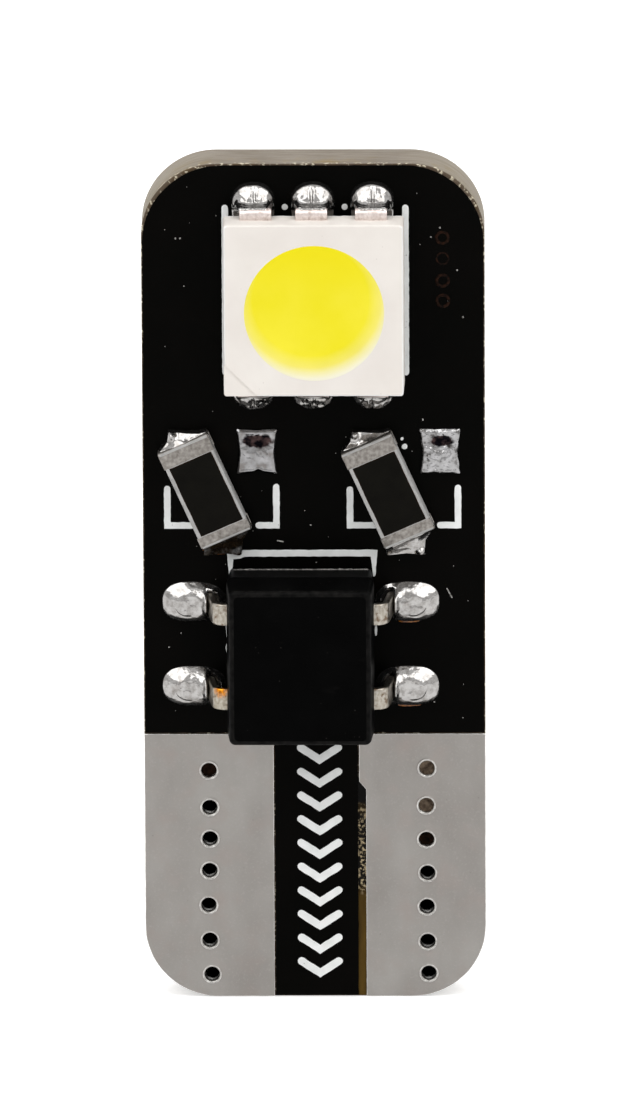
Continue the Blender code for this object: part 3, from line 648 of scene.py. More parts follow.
def turned(shape, profile, sides, u=0.0, v=0.0):
    """A ring of vertices about (u, v) for each (radius, h) of a profile."""
    return [[shape.verts.new((u + r * c, v + r * s, h)) for c, s in compass(sides)] for r, h in profile]


def paint(faces, index):
    """Gives faces one of their piece's finishes, by its number."""
    for part in faces:
        part.material_index = index


def paint_edges(shape):
    """Gives the rounded edges of a plate the second finish."""
    paint([part for part in shape.faces if part.smooth], 1)


def plate(outlines, low, high, rounding, segments=2):
    """A flat plate between two heights, its edges rounded, from its outline and its holes."""
    curve = bpy.data.curves.new("plate", "CURVE")
    curve.dimensions = "2D"
    curve.fill_mode = "BOTH"
    curve.extrude = (high - low) / 2 - rounding
    curve.bevel_depth = rounding
    curve.bevel_resolution = segments
    curve.offset = -rounding
    for outline in outlines:
        spline = curve.splines.new("POLY")
        spline.points.add(len(outline) - 1)
        for point, (x, y) in zip(spline.points, outline):
            point.co = (x, y, 0, 1)
        spline.use_cyclic_u = True
    holder = linked("plate", curve)
    data = bpy.data.meshes.new_from_object(holder.evaluated_get(bpy.context.evaluated_depsgraph_get()))
    bpy.data.objects.remove(holder)
    bpy.data.curves.remove(curve)
    shape = as_shape(data)
    bmesh.ops.translate(shape, verts=shape.verts, vec=(0, 0, (low + high) / 2))
    bmesh.ops.remove_doubles(shape, verts=shape.verts, dist=1e-5)
    bmesh.ops.recalc_face_normals(shape, faces=shape.faces)
    shape.normal_update()
    for part in shape.faces:
        part.smooth = abs(part.normal.z) < 0.999
        part.material_index = 0
    return shape


def cut(shape, tool):
    """A shape with another cut out of it."""
    whole, part = (linked("cut", as_data("cut", solid)) for solid in (shape, tool))
    modifier = whole.modifiers.new("cut", "BOOLEAN")
    modifier.operation = "DIFFERENCE"
    modifier.solver = "EXACT"
    modifier.object = part
    data = bpy.data.meshes.new_from_object(whole.evaluated_get(bpy.context.evaluated_depsgraph_get()))
    for holder in (whole, part):
        bpy.data.objects.remove(holder)
    return as_shape(data)


def swept(path, width, thickness, edge, edge_steps):
    """A bent metal strip: a rounded rectangle drawn along a (v, h) path, width along u."""
    profile = rectangle(width / 2, thickness / 2, edge, edge_steps)
    path = [Vector(p) for p in path]
    shape = bmesh.new()
    rings = [[shape.verts.new((p.x, here.x + step.x * p.y, here.y + step.y * p.y)) for p in profile]
             for here, step in zip(path, sideways(path, 0.5))]
    skin(shape, rings)
    for end in ends(shape, rings):
        for border in end.edges:
            border.smooth = False
    bmesh.ops.recalc_face_normals(shape, faces=shape.faces)
    return shape


def blob(outline, surface, low=0.012, spokes=72, rings=22, centre=(0, 0)):
    """Solder on a pad: outline(angle) gives its reach and surface(u, v, share) its height."""
    shape = bmesh.new()
    cu, cv = centre
    reaches = [outline(math.tau * s / spokes) for s in range(spokes)]
    grid = []
    for r in range(1, rings + 1):
        share = 1 - (1 - r / rings) ** 1.25
        places = [(cu + (u - cu) * share, cv + (v - cv) * share) for u, v in reaches]
        grid.append([shape.verts.new((u, v, surface(u, v, share))) for u, v in places])
    foot = [shape.verts.new((vert.co.x, vert.co.y, low)) for vert in grid[-1]]
    fan(shape, shape.verts.new((cu, cv, surface(cu, cv, 0.0))), grid[0])
    skin(shape, [*grid, foot])
    shape.faces.new(foot)
    bmesh.ops.recalc_face_normals(shape, faces=shape.faces)
    return shape


# Board


ARC = 24
BOARD_HALF_WIDTH, BOARD_HALF_HEIGHT = face_place("board_laminate")[1].xy
CORNER = 2.15
contact_middle, contact_half = face_place("contact_left")
CONTACT_TOP = contact_middle.y + contact_half.y
CONTACT_INNER = 1.23
STRIP_SHIFT, STRIP_HALF = 0.04, 1.2
VIA_RADIUS, VIA_WALL = 0.225, 0.035
LAMINATE_BORE = 0.27
# The right contact's inner edge steps back below this stretch
STEP_TOP, STEP_FOOT, STEP_BACK, STEP_ROUND = 6.52, 6.28, 0.2, 0.06
# The plated holes as drilled, a little off their even rows, from the foot up
LEFT_HOLES = ((-3.006, 0.673), (-3.064, 1.711), (-3.093, 2.779), (-3.061, 3.828), (-3.046, 4.793),
              (-3.049, 5.743), (-3.069, 6.861))
RIGHT_HOLES = ((3.278, 0.699), (3.246, 1.667), (3.226, 2.723), (3.246, 3.744), (3.217, 4.764),
               (3.214, 5.795), (3.237, 6.922))


def board():
    """The laminate with its drilled holes, milled all round."""
    outline = rectangle(BOARD_HALF_WIDTH, BOARD_HALF_HEIGHT, CORNER, ARC, (0, BOARD_HALF_HEIGHT))
    bores = [circle(u, v, LAMINATE_BORE) for u, v in LEFT_HOLES + RIGHT_HOLES]
    shape = plate([outline, *bores], -2 * BOARD_HALF, 0, 0.02)
    piece("board", shape, [LAMINATE], ["board_laminate"])


def contact(name, side, holes):
    """The tinned plates of one side of the foot and the plated holes that join them."""
    outer, inner = side * BOARD_HALF_WIDTH, STRIP_SHIFT + side * CONTACT_INNER
    corners = [(outer, 0, CORNER), (outer, CONTACT_TOP, 0), (inner, CONTACT_TOP, 0)]
    if side < 0:
        corners.append((inner, 0, 0))
    else:
        lower = inner + STEP_BACK
        corners += [(inner, STEP_TOP, STEP_ROUND), (lower, STEP_FOOT, STEP_ROUND), (lower, 0, 0)]
    outline = wander(rounded(corners, ARC), 0.006, 0.12, 3 + side)
    mouths = [circle(u, v, VIA_RADIUS) for u, v in holes]
    shapes = []
    for low, high in ((PLATE_LOW, PLATE_TOP), (-2 * BOARD_HALF - PLATE_TOP, -2 * BOARD_HALF - PLATE_LOW)):
        shape = plate([outline, *mouths], low, high, 0.018, 3)
        # The rounded edges take the lighter tin, partly a painted highlight.
        paint_edges(shape)
        shapes.append(shape)
    shapes += [barrel(u, v) for u, v in holes]
    piece(name, joined(*shapes), [TIN, TIN_BEAD_HIGHLIGHT, HOLE, HOLE_RIM_HIGHLIGHT], [name])


def barrel(u, v):
    """The plating inside one hole, with a low rim round each of its mouths."""
    wall, deep = (VIA_RADIUS + VIA_WALL, -0.005), (VIA_RADIUS - 0.012, -0.14)
    rim = ((0.088, -0.01), (0.074, 0.006), (0.05, 0.014), (0.022, -0.002), (-0.012, -0.032))
    profile = [wall, (wall[0], PLATE_TOP - 0.01), *((VIA_RADIUS + r, PLATE_TOP + h) for r, h in rim), deep]
    mirrored = [(r, -2 * BOARD_HALF - h) for r, h in reversed(profile)]
    shape = bmesh.new()
    bands = skin(shape, turned(shape, profile + mirrored, 32, u, v), looped=True)
    for i, band in enumerate(bands):
        from_bore = abs(i - profile.index(deep))
        # Deep in the bore the wall takes painted black shade; the rim's inner slopes take the lighter tin,
        # partly a painted highlight.
        paint(band, 2 if from_bore < 2 else 3 if from_bore < 4 else 0)
    return shape


def plugs():
    """Holes that flux has filled: the top one on the left and the top three on the right."""
    fills = ((LEFT_HOLES[6], 0.1, 0), (RIGHT_HOLES[6], 0.03, 1), (RIGHT_HOLES[5], 0.07, 1),
             (RIGHT_HOLES[4], 0.14, 0))
    reach = superellipse(VIA_RADIUS - 0.014, VIA_RADIUS - 0.014)
    shapes = []
    for number, ((u, v), depth, kind) in enumerate(fills):
        def surface(x, y, share):
            return 0.03 * share**3 - depth + 0.012 * ripple(x, y, 0.12, number)
        shape = blob(lambda a: (u + reach(a)[0], v + reach(a)[1]), surface, -depth - 0.25, 24, 8, (u, v))
        paint(shape.faces, kind)
        shapes.append(shape)
    piece("hole_fills", joined(*shapes), [DARK_PLUG, PLUG])


def mask(name, face, windows):
    """The solder mask of one face, down to the strip between the contacts."""
    inset = 0.03
    shift = face * STRIP_SHIFT
    left, right = shift - STRIP_HALF, shift + STRIP_HALF
    side, top, shoulder = BOARD_HALF_WIDTH - inset, 2 * BOARD_HALF_HEIGHT - inset, CONTACT_TOP + inset
    corner = CORNER + 0.15
    outline = rounded([(left, inset, 0), (right, inset, 0), (right, shoulder, 0), (side, shoulder, 0),
                       (side, top, corner), (-side, top, corner), (-side, shoulder, 0), (left, shoulder, 0)],
                      ARC)
    shape = plate([wander(outline, 0.014, 0.1, face), *windows], MASK_LOW, MASK_TOP, 0.012, 1)
    piece(name, shape, [MASK], [name], face)


def window(outline, centre, turn=0.0, at=(0, 0, 0)):
    """The mask's opening under a joint, just inside the solder's own outline."""
    keep, sides = 0.93, 36
    middle = Vector(centre)
    spin = Matrix.Rotation(turn, 2)
    points = (Vector(outline(math.tau * k / sides)) for k in range(sides))
    return [spin @ (middle + (p - middle) * keep) + Vector(at[:2]) for p in points]


# LED


LED_HALF, LED_FACE, LED_FLOOR = 2.63, 1.6, 0.22
# The housing's sides lie this far inside its half size, across and up
LED_IN_U, LED_IN_V = 0.03, 0.059
PARTING = 0.66
LED_LEAD_PITCH, LED_LEAD_WIDTH, LED_LEAD_THICK = 1.71, 0.92, 0.15
LED_LEAD_LEVEL, LED_LEAD_OUT, LED_LEAD_FOOT = 1.02, 2.83, 0.135
LED_PAD_HALF, LED_PAD_START, LED_DOME, LED_REACH = 0.61, 2.0, 2.84, 3.37
CUP_RADIUS, CUP_FLOOR = 2.01, 0.9
# The corner mark's line crosses the face where u + v from the centre is minus this
NOTCH_SUM, NOTCH_DEPTH = 4.15, 0.04
TAB_SHIFT = (0.08, -0.03, -0.03, 0.0, 0.0, 0.0)
LED_OFF = Vector((0.03, -0.046))
CUP_OFF = Vector((0.044, -0.114))
# How far a cutting shape stands past the face that it cuts
PAST = 0.4


def led_shell():
    """The housing: square, flush at its cup, its lower half drawn in under the leads."""
    levels = ((LED_FLOOR, 0.24), (PARTING - 0.02, 0.03), (PARTING, 0.0), (PARTING + 0.03, 0.004),
              (LED_FACE - 0.04, 0.026), (LED_FACE - 0.012, 0.038), (LED_FACE, 0.066))
    outlines = []
    for level, (_, inset) in enumerate(levels):
        outline = rectangle(LED_HALF - LED_IN_U - inset, LED_HALF - LED_IN_V - inset, 0.08, 4)
        outlines.append(wander(outline, 0.012 if 0 < level < 4 else 0.005, 0.07, 4))
    count = min(map(len, outlines))
    shape = bmesh.new()
    rings = [[shape.verts.new((p.x, p.y, h)) for p in outline[:count]]
             for (h, _), outline in zip(levels, outlines)]
    for level, band in enumerate(skin(shape, rings)):
        for part in band:
            part.normal_update()
            # The side walls take the darker copy of the housing, painted shade.
            upper = part.normal.y > 0.3
            lip, bevel = level in (1, 2), level in (4, 5)
            # The top of the lip and the bevels that don't face up take the lighter copy, a painted highlight.
            part.material_index = 1 if (lip and upper) or (bevel and not upper) else 0 if bevel else 2
    ends(shape, rings)
    return shape


def gel_shape():
    """The gel: a shallow bowl that wets the cup's wall."""
    edge = CUP_RADIUS - 0.001
    middle_drop, depth = 0.06, 0.3
    drops = ((0.9, 0.05), (1.6, 0.025), (1.93, 0.004), (edge - 0.012, 0.001), (edge - 0.004, 0.001),
             (edge, 0.002), (edge, 0.012), (edge, depth))
    shape = bmesh.new()
    rings = turned(shape, [(r, LED_FACE - drop) for r, drop in drops], 96)
    skin(shape, rings)
    fan(shape, shape.verts.new((0, 0, LED_FACE - middle_drop)), rings[0])
    fan(shape, shape.verts.new((0, 0, LED_FACE - depth)), rings[-1], smooth=False)
    return shape


def led(prefix, face):
    """The housing and the gel of one LED; returns how high its centre is."""
    centre = face_place(f"{prefix}_housing", face)[0].y
    cup = plate([circle(*(CUP_OFF - LED_OFF), CUP_RADIUS, 96)], CUP_FLOOR, LED_FACE + PAST, 0.001, 0)
    reach = LED_HALF + 0.6
    corner = [Vector(p) for p in ((-reach, -reach), (reach - NOTCH_SUM, -reach), (-reach, reach - NOTCH_SUM))]
    notch = plate([corner], LED_FACE - NOTCH_DEPTH, LED_FACE + PAST, 0.001, 0)
    piece(f"{prefix}_shell", cut(cut(led_shell(), cup), notch), [HOUSING, HOUSING_EDGE_HIGHLIGHT, HOUSING_SIDE_SHADE],
          [f"{prefix}_housing"], face, at=(LED_OFF.x, centre + LED_OFF.y, 0))
    home = (CUP_OFF.x, centre + CUP_OFF.y, 0)
    fade_finish = gel_finish(f"{prefix}_phosphor", face_matrix(face) @ Vector((*home[:2], LED_FACE)), face)
    piece(f"{prefix}_phosphor", gel_shape(), [fade_finish], [f"{prefix}_gel"], face, at=home)
    return centre


def led_lead():
    """One LED lead, from the housing's side down to the foot folded under it."""
    outside = LED_LEAD_OUT - LED_LEAD_THICK / 2
    path = rounded([(2.3, LED_LEAD_LEVEL, 0), (outside, LED_LEAD_LEVEL, 0.12), (outside, LED_LEAD_FOOT, 0.13),
                    (2.1, LED_LEAD_FOOT, 0)], 8, False)
    return swept(path, LED_LEAD_WIDTH, LED_LEAD_THICK, 0.03, 3)


def led_pad(seed):
    """The outline of an LED joint: round outside, square under the housing."""
    return joint_pad(LED_PAD_HALF, LED_DOME, LED_REACH - LED_DOME, LED_DOME - LED_PAD_START, (2.1, 4),
                     (1.03, 0.03, 0.9), seed)


def led_solder(number):
    """One LED joint: a full dome of solder up the lead's outer side."""
    seed = 11 + number
    lean = (0.05, -0.03, 0.02, 0.03, -0.03, 0.05)[number - 1]

    def surface(u, v, share):
        wall = max(0.0, 1 - share**28) ** 0.5
        under = step_up(v, 2.62, 0.02)
        climb = fade(v - LED_LEAD_OUT, 0.05) * step_up(-abs(u), -LED_LEAD_WIDTH / 2, 0.02)
        crease = 0.09 * hump(u, v, (lean, 3.1), (0.045, 0.28), 0.15 * lean)
        hollow = 0.1 * hump(u, v, (lean, 2.9), (0.2, 0.06))
        uneven = 0.035 * ripple(u, v, 0.24, seed) + 0.02 * ripple(u, v, 0.11, seed + 5)
        full = 0.2 + 0.36 * (1 - share**1.4) + uneven - crease - hollow
        return PAD_TOP + wall * (0.08 + under * (full + climb * (0.88 + uneven - full)))

    return blob(led_pad(seed), surface, spokes=80, rings=30, centre=(0, LED_DOME))


def led_places(centre):
    """Where each of an LED's leads is and how it is turned: three on its top side, three below."""
    return [((u, centre, 0), turn) for turn in (0.0, HALF_TURN) for u in (-LED_LEAD_PITCH, 0, LED_LEAD_PITCH)]


def led_joints(prefix, face, centre):
    """The leads and their solder, apart on the front and as one on the back."""
    for number, (at, turn) in enumerate(led_places(centre), 1):
        name, node = f"{prefix}_tab_{number}", [f"{prefix}_lead_{number}"]
        if face == FRONT:
            tab_at = (at[0] + TAB_SHIFT[number - 1], centre, 0)
            piece(name, led_lead(), [LED_LEAD], node, face, turn, tab_at)
            piece(f"{prefix}_joint_{number}", led_solder(number), [SOLDER],
                  [f"{prefix}_solder_{number}"], face, turn, at)
        else:
            solder = led_solder(7 - number)
            paint(solder.faces, 1)
            piece(name, joined(led_lead(), solder), [LED_LEAD, SOLDER], node, face, turn, at)


# Bridge rectifier


BRIDGE_HALF_U, BRIDGE_HALF_V = 2.125, 2.39
BRIDGE_LOW, BRIDGE_MIDDLE, BRIDGE_HIGH = 0.1, 1.35, 2.6
BRIDGE_DRAFT, BRIDGE_EDGE = 0.08, 0.15
BRIDGE_ROW = 1.27
BRIDGE_LEAD_WIDTH, BRIDGE_LEAD_THICK, BRIDGE_LEAD_FOOT = 0.64, 0.2, 0.16
BRIDGE_PAD_HALF, BRIDGE_PAD_START, BRIDGE_PAD_END, BRIDGE_FOOT = 0.6, 2.15, 4.0, 3.17


def moulding():
    """The moulded body: widest at its parting plane, with rounded corners and edges."""
    shoulder, top_draft, steps = BRIDGE_HIGH - BRIDGE_EDGE, BRIDGE_DRAFT - 0.006, 5
    levels = [(BRIDGE_LOW, BRIDGE_DRAFT), (BRIDGE_MIDDLE - 0.012, 0.004), (BRIDGE_MIDDLE, 0.0),
              (BRIDGE_MIDDLE + 0.012, 0.006), (shoulder, top_draft)]
    straight = len(levels) - 1
    for k in range(1, steps + 1):
        a = QUARTER_TURN * k / steps
        levels.append((shoulder + BRIDGE_EDGE * math.sin(a), top_draft + BRIDGE_EDGE * (1 - math.cos(a))))
    shape = bmesh.new()
    rings = []
    for h, inset in levels:
        outline = rectangle(BRIDGE_HALF_U - inset, BRIDGE_HALF_V - inset, max(0.02, 0.2 - inset / 3), 6)
        rings.append([shape.verts.new((p.x, p.y, h)) for p in outline])
    # The rounded top edges take the lighter, glossier epoxy, partly a painted highlight.
    for band in skin(shape, rings)[straight:]:
        paint(band, 1)
    ends(shape, rings)
    return shape


def flash_line():
    """Thin moulding flash and dust along the foot of the body's top side, pale grey: partly dust, partly a
    painted highlight on the ridge.
    """
    count, inset, level = 120, 0.17, 0.42
    v = BRIDGE_HALF_V - 0.06
    shape = bmesh.new()
    rings = []
    for k in range(count + 1):
        u = (k / count * 2 - 1) * (BRIDGE_HALF_U - inset)
        reach = 0.035 * (0.6 + 0.7 * abs(ripple(u, 0, 0.22, 1)) + 0.5 * max(0, ripple(u, 0, 0.07, 2)))
        rings.append([shape.verts.new((u, v + dv * reach, level + dh * reach))
                      for dv, dh in ((-1, -1), (0.6, -1), (1, 0), (0.6, 1), (-1, 1))])
    skin(shape, rings)
    ends(shape, rings)
    return shape


def bridge_lead():
    """A gull-wing lead, running out along v."""
    heel = 2.6
    path = rounded([(BRIDGE_HALF_U - 0.4, BRIDGE_MIDDLE, 0), (heel - 0.16, BRIDGE_MIDDLE, 0.32),
                    (heel, BRIDGE_LEAD_FOOT, 0.16), (heel + 0.9, BRIDGE_LEAD_FOOT, 0)], 10, False)
    return swept(path, BRIDGE_LEAD_WIDTH, BRIDGE_LEAD_THICK, 0.05, 3)


def bridge_pad(seed):
    """The outline of a rectifier joint: round at both ends."""
    return joint_pad(BRIDGE_PAD_HALF, BRIDGE_FOOT, BRIDGE_PAD_END - BRIDGE_FOOT,
                     BRIDGE_FOOT - BRIDGE_PAD_START, (2.5, 2.5), (1, 0.025, 0.8), seed)


def bridge_solder(number):
    """One rectifier joint: thin over the lead's foot, sloped to the pad's edge, hollow at the heel."""
    seed = 31 + number
    side = -1 if number in (1, 2) else 1

    def surface(u, v, share):
        edge = max(0.0, 1 - share**5) ** 0.55
        slope = 1 - max(0.0, (share - 0.42) / 0.58) ** 1.25
        body = step_up(v, 2.68, 0.035)
        climb = 0.5 * fade(v - 2.72, 0.09) * hump(u, 0, (0, 0), (0.36, 1))
        du, dv = u - 0.02 * side, v - 3.28
        facing = max(0.0, (du * side + dv) / (1.41 * math.hypot(du, dv) + 1e-6))
        toe = 0.05 * bell(math.hypot(du, dv), 0.37, 0.035) * facing**2
        rim = 0.085 * bell(share, 0.86, 0.085)
        uneven = 0.016 * ripple(u, v, 0.24, seed) + 0.007 * ripple(u, v, 0.1, seed + 3)
        over = 0.1 + 0.24 * slope + climb - toe + 0.05 * u * side + uneven
        bead = 0.2 * hump(u, v, (0.4, 2.56), (0.08, 0.12)) if number == 1 else 0.0
        near = 0.03 + rim + bead + uneven
        return PAD_TOP + edge * max(0.015, over * body + near * (1 - body))

    return blob(bridge_pad(seed), surface, spokes=96, rings=40, centre=(0, BRIDGE_FOOT))


def bridge_places(middle):
    """Where each of the rectifier's leads is and how it is turned."""
    return [((middle.x, middle.y + row * BRIDGE_ROW, 0), -side * QUARTER_TURN)
            for side in (-1, 1) for row in (1, -1)]


def bridge(middle):
    """The rectifier, its leads, their solder and the flash along its foot."""
    home = (middle.x, middle.y, 0)
    piece("rectifier_body", moulding(), [EPOXY, EPOXY_EDGE_SHEEN], ["bridge_body"], at=home)
    piece("rectifier_flash", flash_line(), [FLASH_DUST_AND_HIGHLIGHT], at=home)
    for number, (at, turn) in enumerate(bridge_places(middle), 1):
        finish = AMBER_LEAD if number == 2 else BRIDGE_LEAD
        piece(f"rectifier_lead_{number}", bridge_lead(), [finish], [f"bridge_lead_{number}"],
              turn=turn, at=at)
        piece(f"rectifier_joint_{number}", bridge_solder(number), [SOLDER],
              [f"bridge_solder_{number}"], turn=turn, at=at)


# Chip resistors


# Length, width, height and the length of a cap
RESISTOR = (3.15, 1.57, 0.58, 0.44)
LOAD = (6.35, 3.2, 0.6, 0.6)
CHIP_LOW = 0.06
COAT_DROP, COAT_SHIFT = 0.065, 0.015
RESISTOR_TILT = math.radians(24)
FOOTPRINT_PAD = (0.56, 0.67)
FOOTPRINT_PITCH, FOOTPRINT_HALF_ROW, FOOTPRINT_DROP = 1.0, 1.205, 0.15
# How far solder climbs the end of a chip; on the right resistor's upper joint it climbs less
CLIMB, LOW_CLIMB = 0.43, 0.33


def chip_coat(length, width, height, cap, drop):
    """The black coat over a chip, brown where it thins at its edges."""
    outline = rectangle(width / 2 - 0.115, length / 2 - cap - 0.01, 0.03, 3, (COAT_SHIFT, -drop))
    shape = plate([wander(outline, 0.008, 0.1, 5)], height - 0.002, height + 0.062, 0.028, 2)
    paint_edges(shape)
    return shape


def chip_body(length, width, height, _):
    """The bare ceramic of a chip, its edges a little worn."""
    inset = 0.03
    outline = rectangle(width / 2 - inset, length / 2 - inset, 0.03, 3)
    return plate([outline], CHIP_LOW + 0.01, CHIP_LOW + height - 0.005, 0.02, 2)


def chip_cap(length, width, height, cap):
    """The metal cap over the end of a chip at +v, as a bent strip."""
    inset = 0.028
    low, high = CHIP_LOW + inset, CHIP_LOW + height - inset
    tip, root = length / 2 - inset, length / 2 - cap
    path = rounded([(root, low, 0), (tip, low, 0.1), (tip, high, 0.1), (root, high, 0)], 8, False)
    return swept(path, width, 2 * inset, 0.025, 2)


def chip(prefix, size, face, turn, drop=0.0):
    """The ceramic and the coat of a chip resistor; returns where its middle is."""
    middle = face_place(f"{prefix}_ceramic", face)[0]
    at = (middle.x, middle.y, 0)
    piece(f"{prefix}_body", chip_body(*size), [CERAMIC], [f"{prefix}_ceramic"],
          face, turn, at)
    piece(f"{prefix}_glaze", chip_coat(*size, drop), [COAT, COAT_EDGE],
          [f"{prefix}_coat"], face, turn, at)
    return at


def edge_distance(point, start, stop):
    """How far a point is from the line between two ends."""
    line = stop - start
    share = max(0.0, min(1.0, (point - start).dot(line) / line.length_squared))
    return (point - start - line * share).length


def fillet(seed, pad, pad_half, middle, tilt, half, end, climb=CLIMB):
    """Solder drawn up the end of a chip from its pad, rising inward from its free edges."""
    pad, middle = Vector(pad), Vector(middle)
    across = Vector((math.cos(tilt), math.sin(tilt))) * end
    axis = Vector((-math.sin(tilt), math.cos(tilt))) * end
    # The pad's outer corners and the chip's end, hollow between them
    left = middle + axis * (half[1] - 0.01) - across * (half[0] - 0.02)
    right = middle + axis * (half[1] + 0.02) + across * (half[0] - 0.02)
    far_left, far_right = (pad + Vector((side * pad_half[0], pad_half[1])) * end for side in (-1, 1))
    waist = far_left.lerp(left, 0.5) + Vector((0.1, -0.02)) * end
    brow = far_left.lerp(far_right, 0.5) - Vector((0, 0.04)) * end
    under = [p - axis * 0.35 for p in (left, right)]
    core = pad.lerp(middle + axis * half[1], 0.75) + axis * 0.04
    outline = star([far_left, waist, left, *under, right, far_right, brow], core)
    free_edges = ((far_left, waist), (waist, left), (right, far_right), (far_right, brow), (brow, far_left))
    bead_middle = far_left - Vector((-0.1, 0.1)) * end
    blend = 0.05

    def surface(u, v, share):
        point = Vector((u, v))
        out = (point - middle).dot(axis) - half[1]
        if out < -0.07:
            return PAD_TOP + 0.3
        near = sum(math.exp(-edge_distance(point, *line) / blend) for line in free_edges)
        inward = max(0.0, -blend * math.log(near))
        edge = min(1.0, (1 - share) / 0.04) ** 0.5
        slope = climb * fade(out, 0.38) * (0.7 + 0.3 * min(1.0, inward / 0.2))
        bead = 0.16 * hump(u, v, bead_middle, (0.12, 0.12))
        uneven = 0.012 * ripple(u, v, 0.26, seed + 50) + 0.004 * ripple(u, v, 0.09, seed + 60)
        return PAD_TOP + edge * max(0.015, 0.09 + slope + bead + uneven)

    return blob(outline, surface, spokes=120, rings=48, centre=tuple(core))


def chip_pad(centre, half):
    """The outline of a chip's pad, its sides pulled in."""
    pinch_u, pinch_v = 0.2, 0.08
    reach = superellipse(*half, 9)

    def outline(angle):
        u, v = reach(angle)
        keep_u = 1 - pinch_u * math.cos(v / half[1] * QUARTER_TURN) ** 2
        keep_v = 1 - pinch_v * math.cos(u / half[0] * QUARTER_TURN) ** 2
        return centre[0] + u * keep_u, centre[1] + v * keep_v
    return outline


def spare_pad(number, centre):
    """A pad that is only tinned: a thin cushion with a raised rim and pulled-in sides."""
    pu, pv = centre
    half_u, half_v = FOOTPRINT_PAD[0] + 0.04, FOOTPRINT_PAD[1] + 0.02
    waist = 0.07
    dip, arch, grain = ((0.05, 0.13, 0.012), (0.03, 0.02, 0.04))[number]
    corners = [(-half_u, -half_v), (-0.12, dip - half_v), (0.05, arch - half_v), (0.22, dip - half_v),
               (half_u, -half_v), (half_u - waist, 0), (half_u, half_v), (0, half_v - dip / 2),
               (-half_u, half_v), (waist - half_u, 0)]
    outline = star([(pu + x, pv + y) for x, y in corners], centre)

    def surface(u, v, share):
        edge = max(0.0, 1 - share**9) ** 0.5
        rim = 0.035 * bell(share, 0.86, 0.09)
        dish = 0.06 * hump(u, v, (pu + 0.03, pv + 0.3), (0.34, 0.18))
        swell = 0.07 * hump(u, v, (pu, pv - 0.2), (0.4, 0.5))
        rough = grain * ripple(u, v, 0.1, number + 70) + 0.006 * ripple(u, v, 0.25, number + 80)
        return PAD_TOP + edge * max(0.01, 0.08 + rim + swell - dish + rough)

    return blob(outline, surface, spokes=128, rings=40, centre=centre)


def footprint(at):
    """The middles of a chip resistor's three pads: upper left, lower middle and upper right."""
    u, v = at[0] + FOOTPRINT_PITCH / 2, at[1] - FOOTPRINT_DROP
    steps = ((-1, 1), (0, -1), (1, 1))
    return [(u + across * FOOTPRINT_PITCH, v + up * FOOTPRINT_HALF_ROW) for across, up in steps]


def front_resistors():
    """The two chip resistors, askew on their three-pad footprints."""
    length, width, height, cap = RESISTOR
    half = (width / 2, length / 2)
    # Half size of the spare pad's hollow, grey, contrast and depth of relief
    tinnings = (((0.5, 0.21), 134, 24, 0.008), ((0.36, 0.17), 150, 90, 0.035))
    for index, prefix in enumerate(("resistor_left", "resistor_right")):
        at = chip(prefix, RESISTOR, FRONT, RESISTOR_TILT, COAT_DROP)
        upper, lower, spare = footprint(at)
        for label, pad, turn, end in (("top", upper, 0.0, 1), ("bottom", lower, HALF_TURN, -1)):
            shape = chip_cap(length, width, height, cap + end * COAT_DROP)
            piece(f"{prefix}_end_{label}", shape, [END_CAP], [f"{prefix}_cap_{label}"],
                  turn=RESISTOR_TILT + turn, at=at)
            climb = LOW_CLIMB if index == 1 and end > 0 else CLIMB
            joint = fillet(index * 2 + (end > 0), pad, FOOTPRINT_PAD, at[:2], RESISTOR_TILT, half, end, climb)
            finish = BROWN_JOINT if index == 0 and end < 0 else SOLDER
            piece(f"{prefix}_joint_{label}", joint, [finish], [f"{prefix}_solder_{label}"])
        hollow, *look = tinnings[index]
        tinning = spare_finish(f"{prefix}_tinning", (spare[0] + 0.03, spare[1] + 0.33), hollow, *look)
        piece(f"{prefix}_tinned_pad", spare_pad(index, spare), [tinning], [f"{prefix}_spare_pad"])


def load_resistors():
    """The two load resistors across the back, each cap in one with its solder."""
    length, width, _, _ = LOAD
    inner, outer = length / 2 - 0.9, length / 2 + 0.5
    pad, pad_half = (0, (inner + outer) / 2), (width / 2 + 0.1, (outer - inner) / 2)
    for index, prefix in enumerate(("load_lower", "load_upper")):
        at = chip(prefix, LOAD, BACK, QUARTER_TURN)
        for number, label in enumerate(("left", "right")):
            solder = fillet(index * 2 + number + 9, pad, pad_half, (0, 0), 0.0, (width / 2, length / 2), 1)
            paint(solder.faces, 1)
            piece(f"{prefix}_end_{label}", joined(chip_cap(*LOAD), solder), [END_CAP, SOLDER],
                  [f"{prefix}_terminal_{label}"], BACK, QUARTER_TURN + number * HALF_TURN, at)


# Legend ink, flux and dust


LINE = 0.19
LED_LINES, LED_LINE_LOW, LED_LINE_HIGH = (-2.52, 2.66), 18.85, 23.765
LED_DOTS, LED_DOT_V, LED_DOT_RADIUS = (-0.8, 0.92), 23.79, 0.092
BRACKET_V = 14.26
# Seed, then the u of each bracket's ends and the v of its tip
BRACKETS = {"left": (5, (-4.22, -3.0, 15.36), (-1.08, -1.6, 15.42)),
            "right": (9, (1.04, 2.3, 15.34), (4.15, 3.63, 15.38))}
RECTIFIER_LINE = ((-2.42, 12.75), (-2.42, 13.33), (-2.16, 13.35), (-2.02, 13.42), (1.73, 13.42),
                  (1.73, 12.75))
RECTIFIER_WIDTHS = (0.07, 0.19, 0.19, 0.2, 0.2, 0.07)
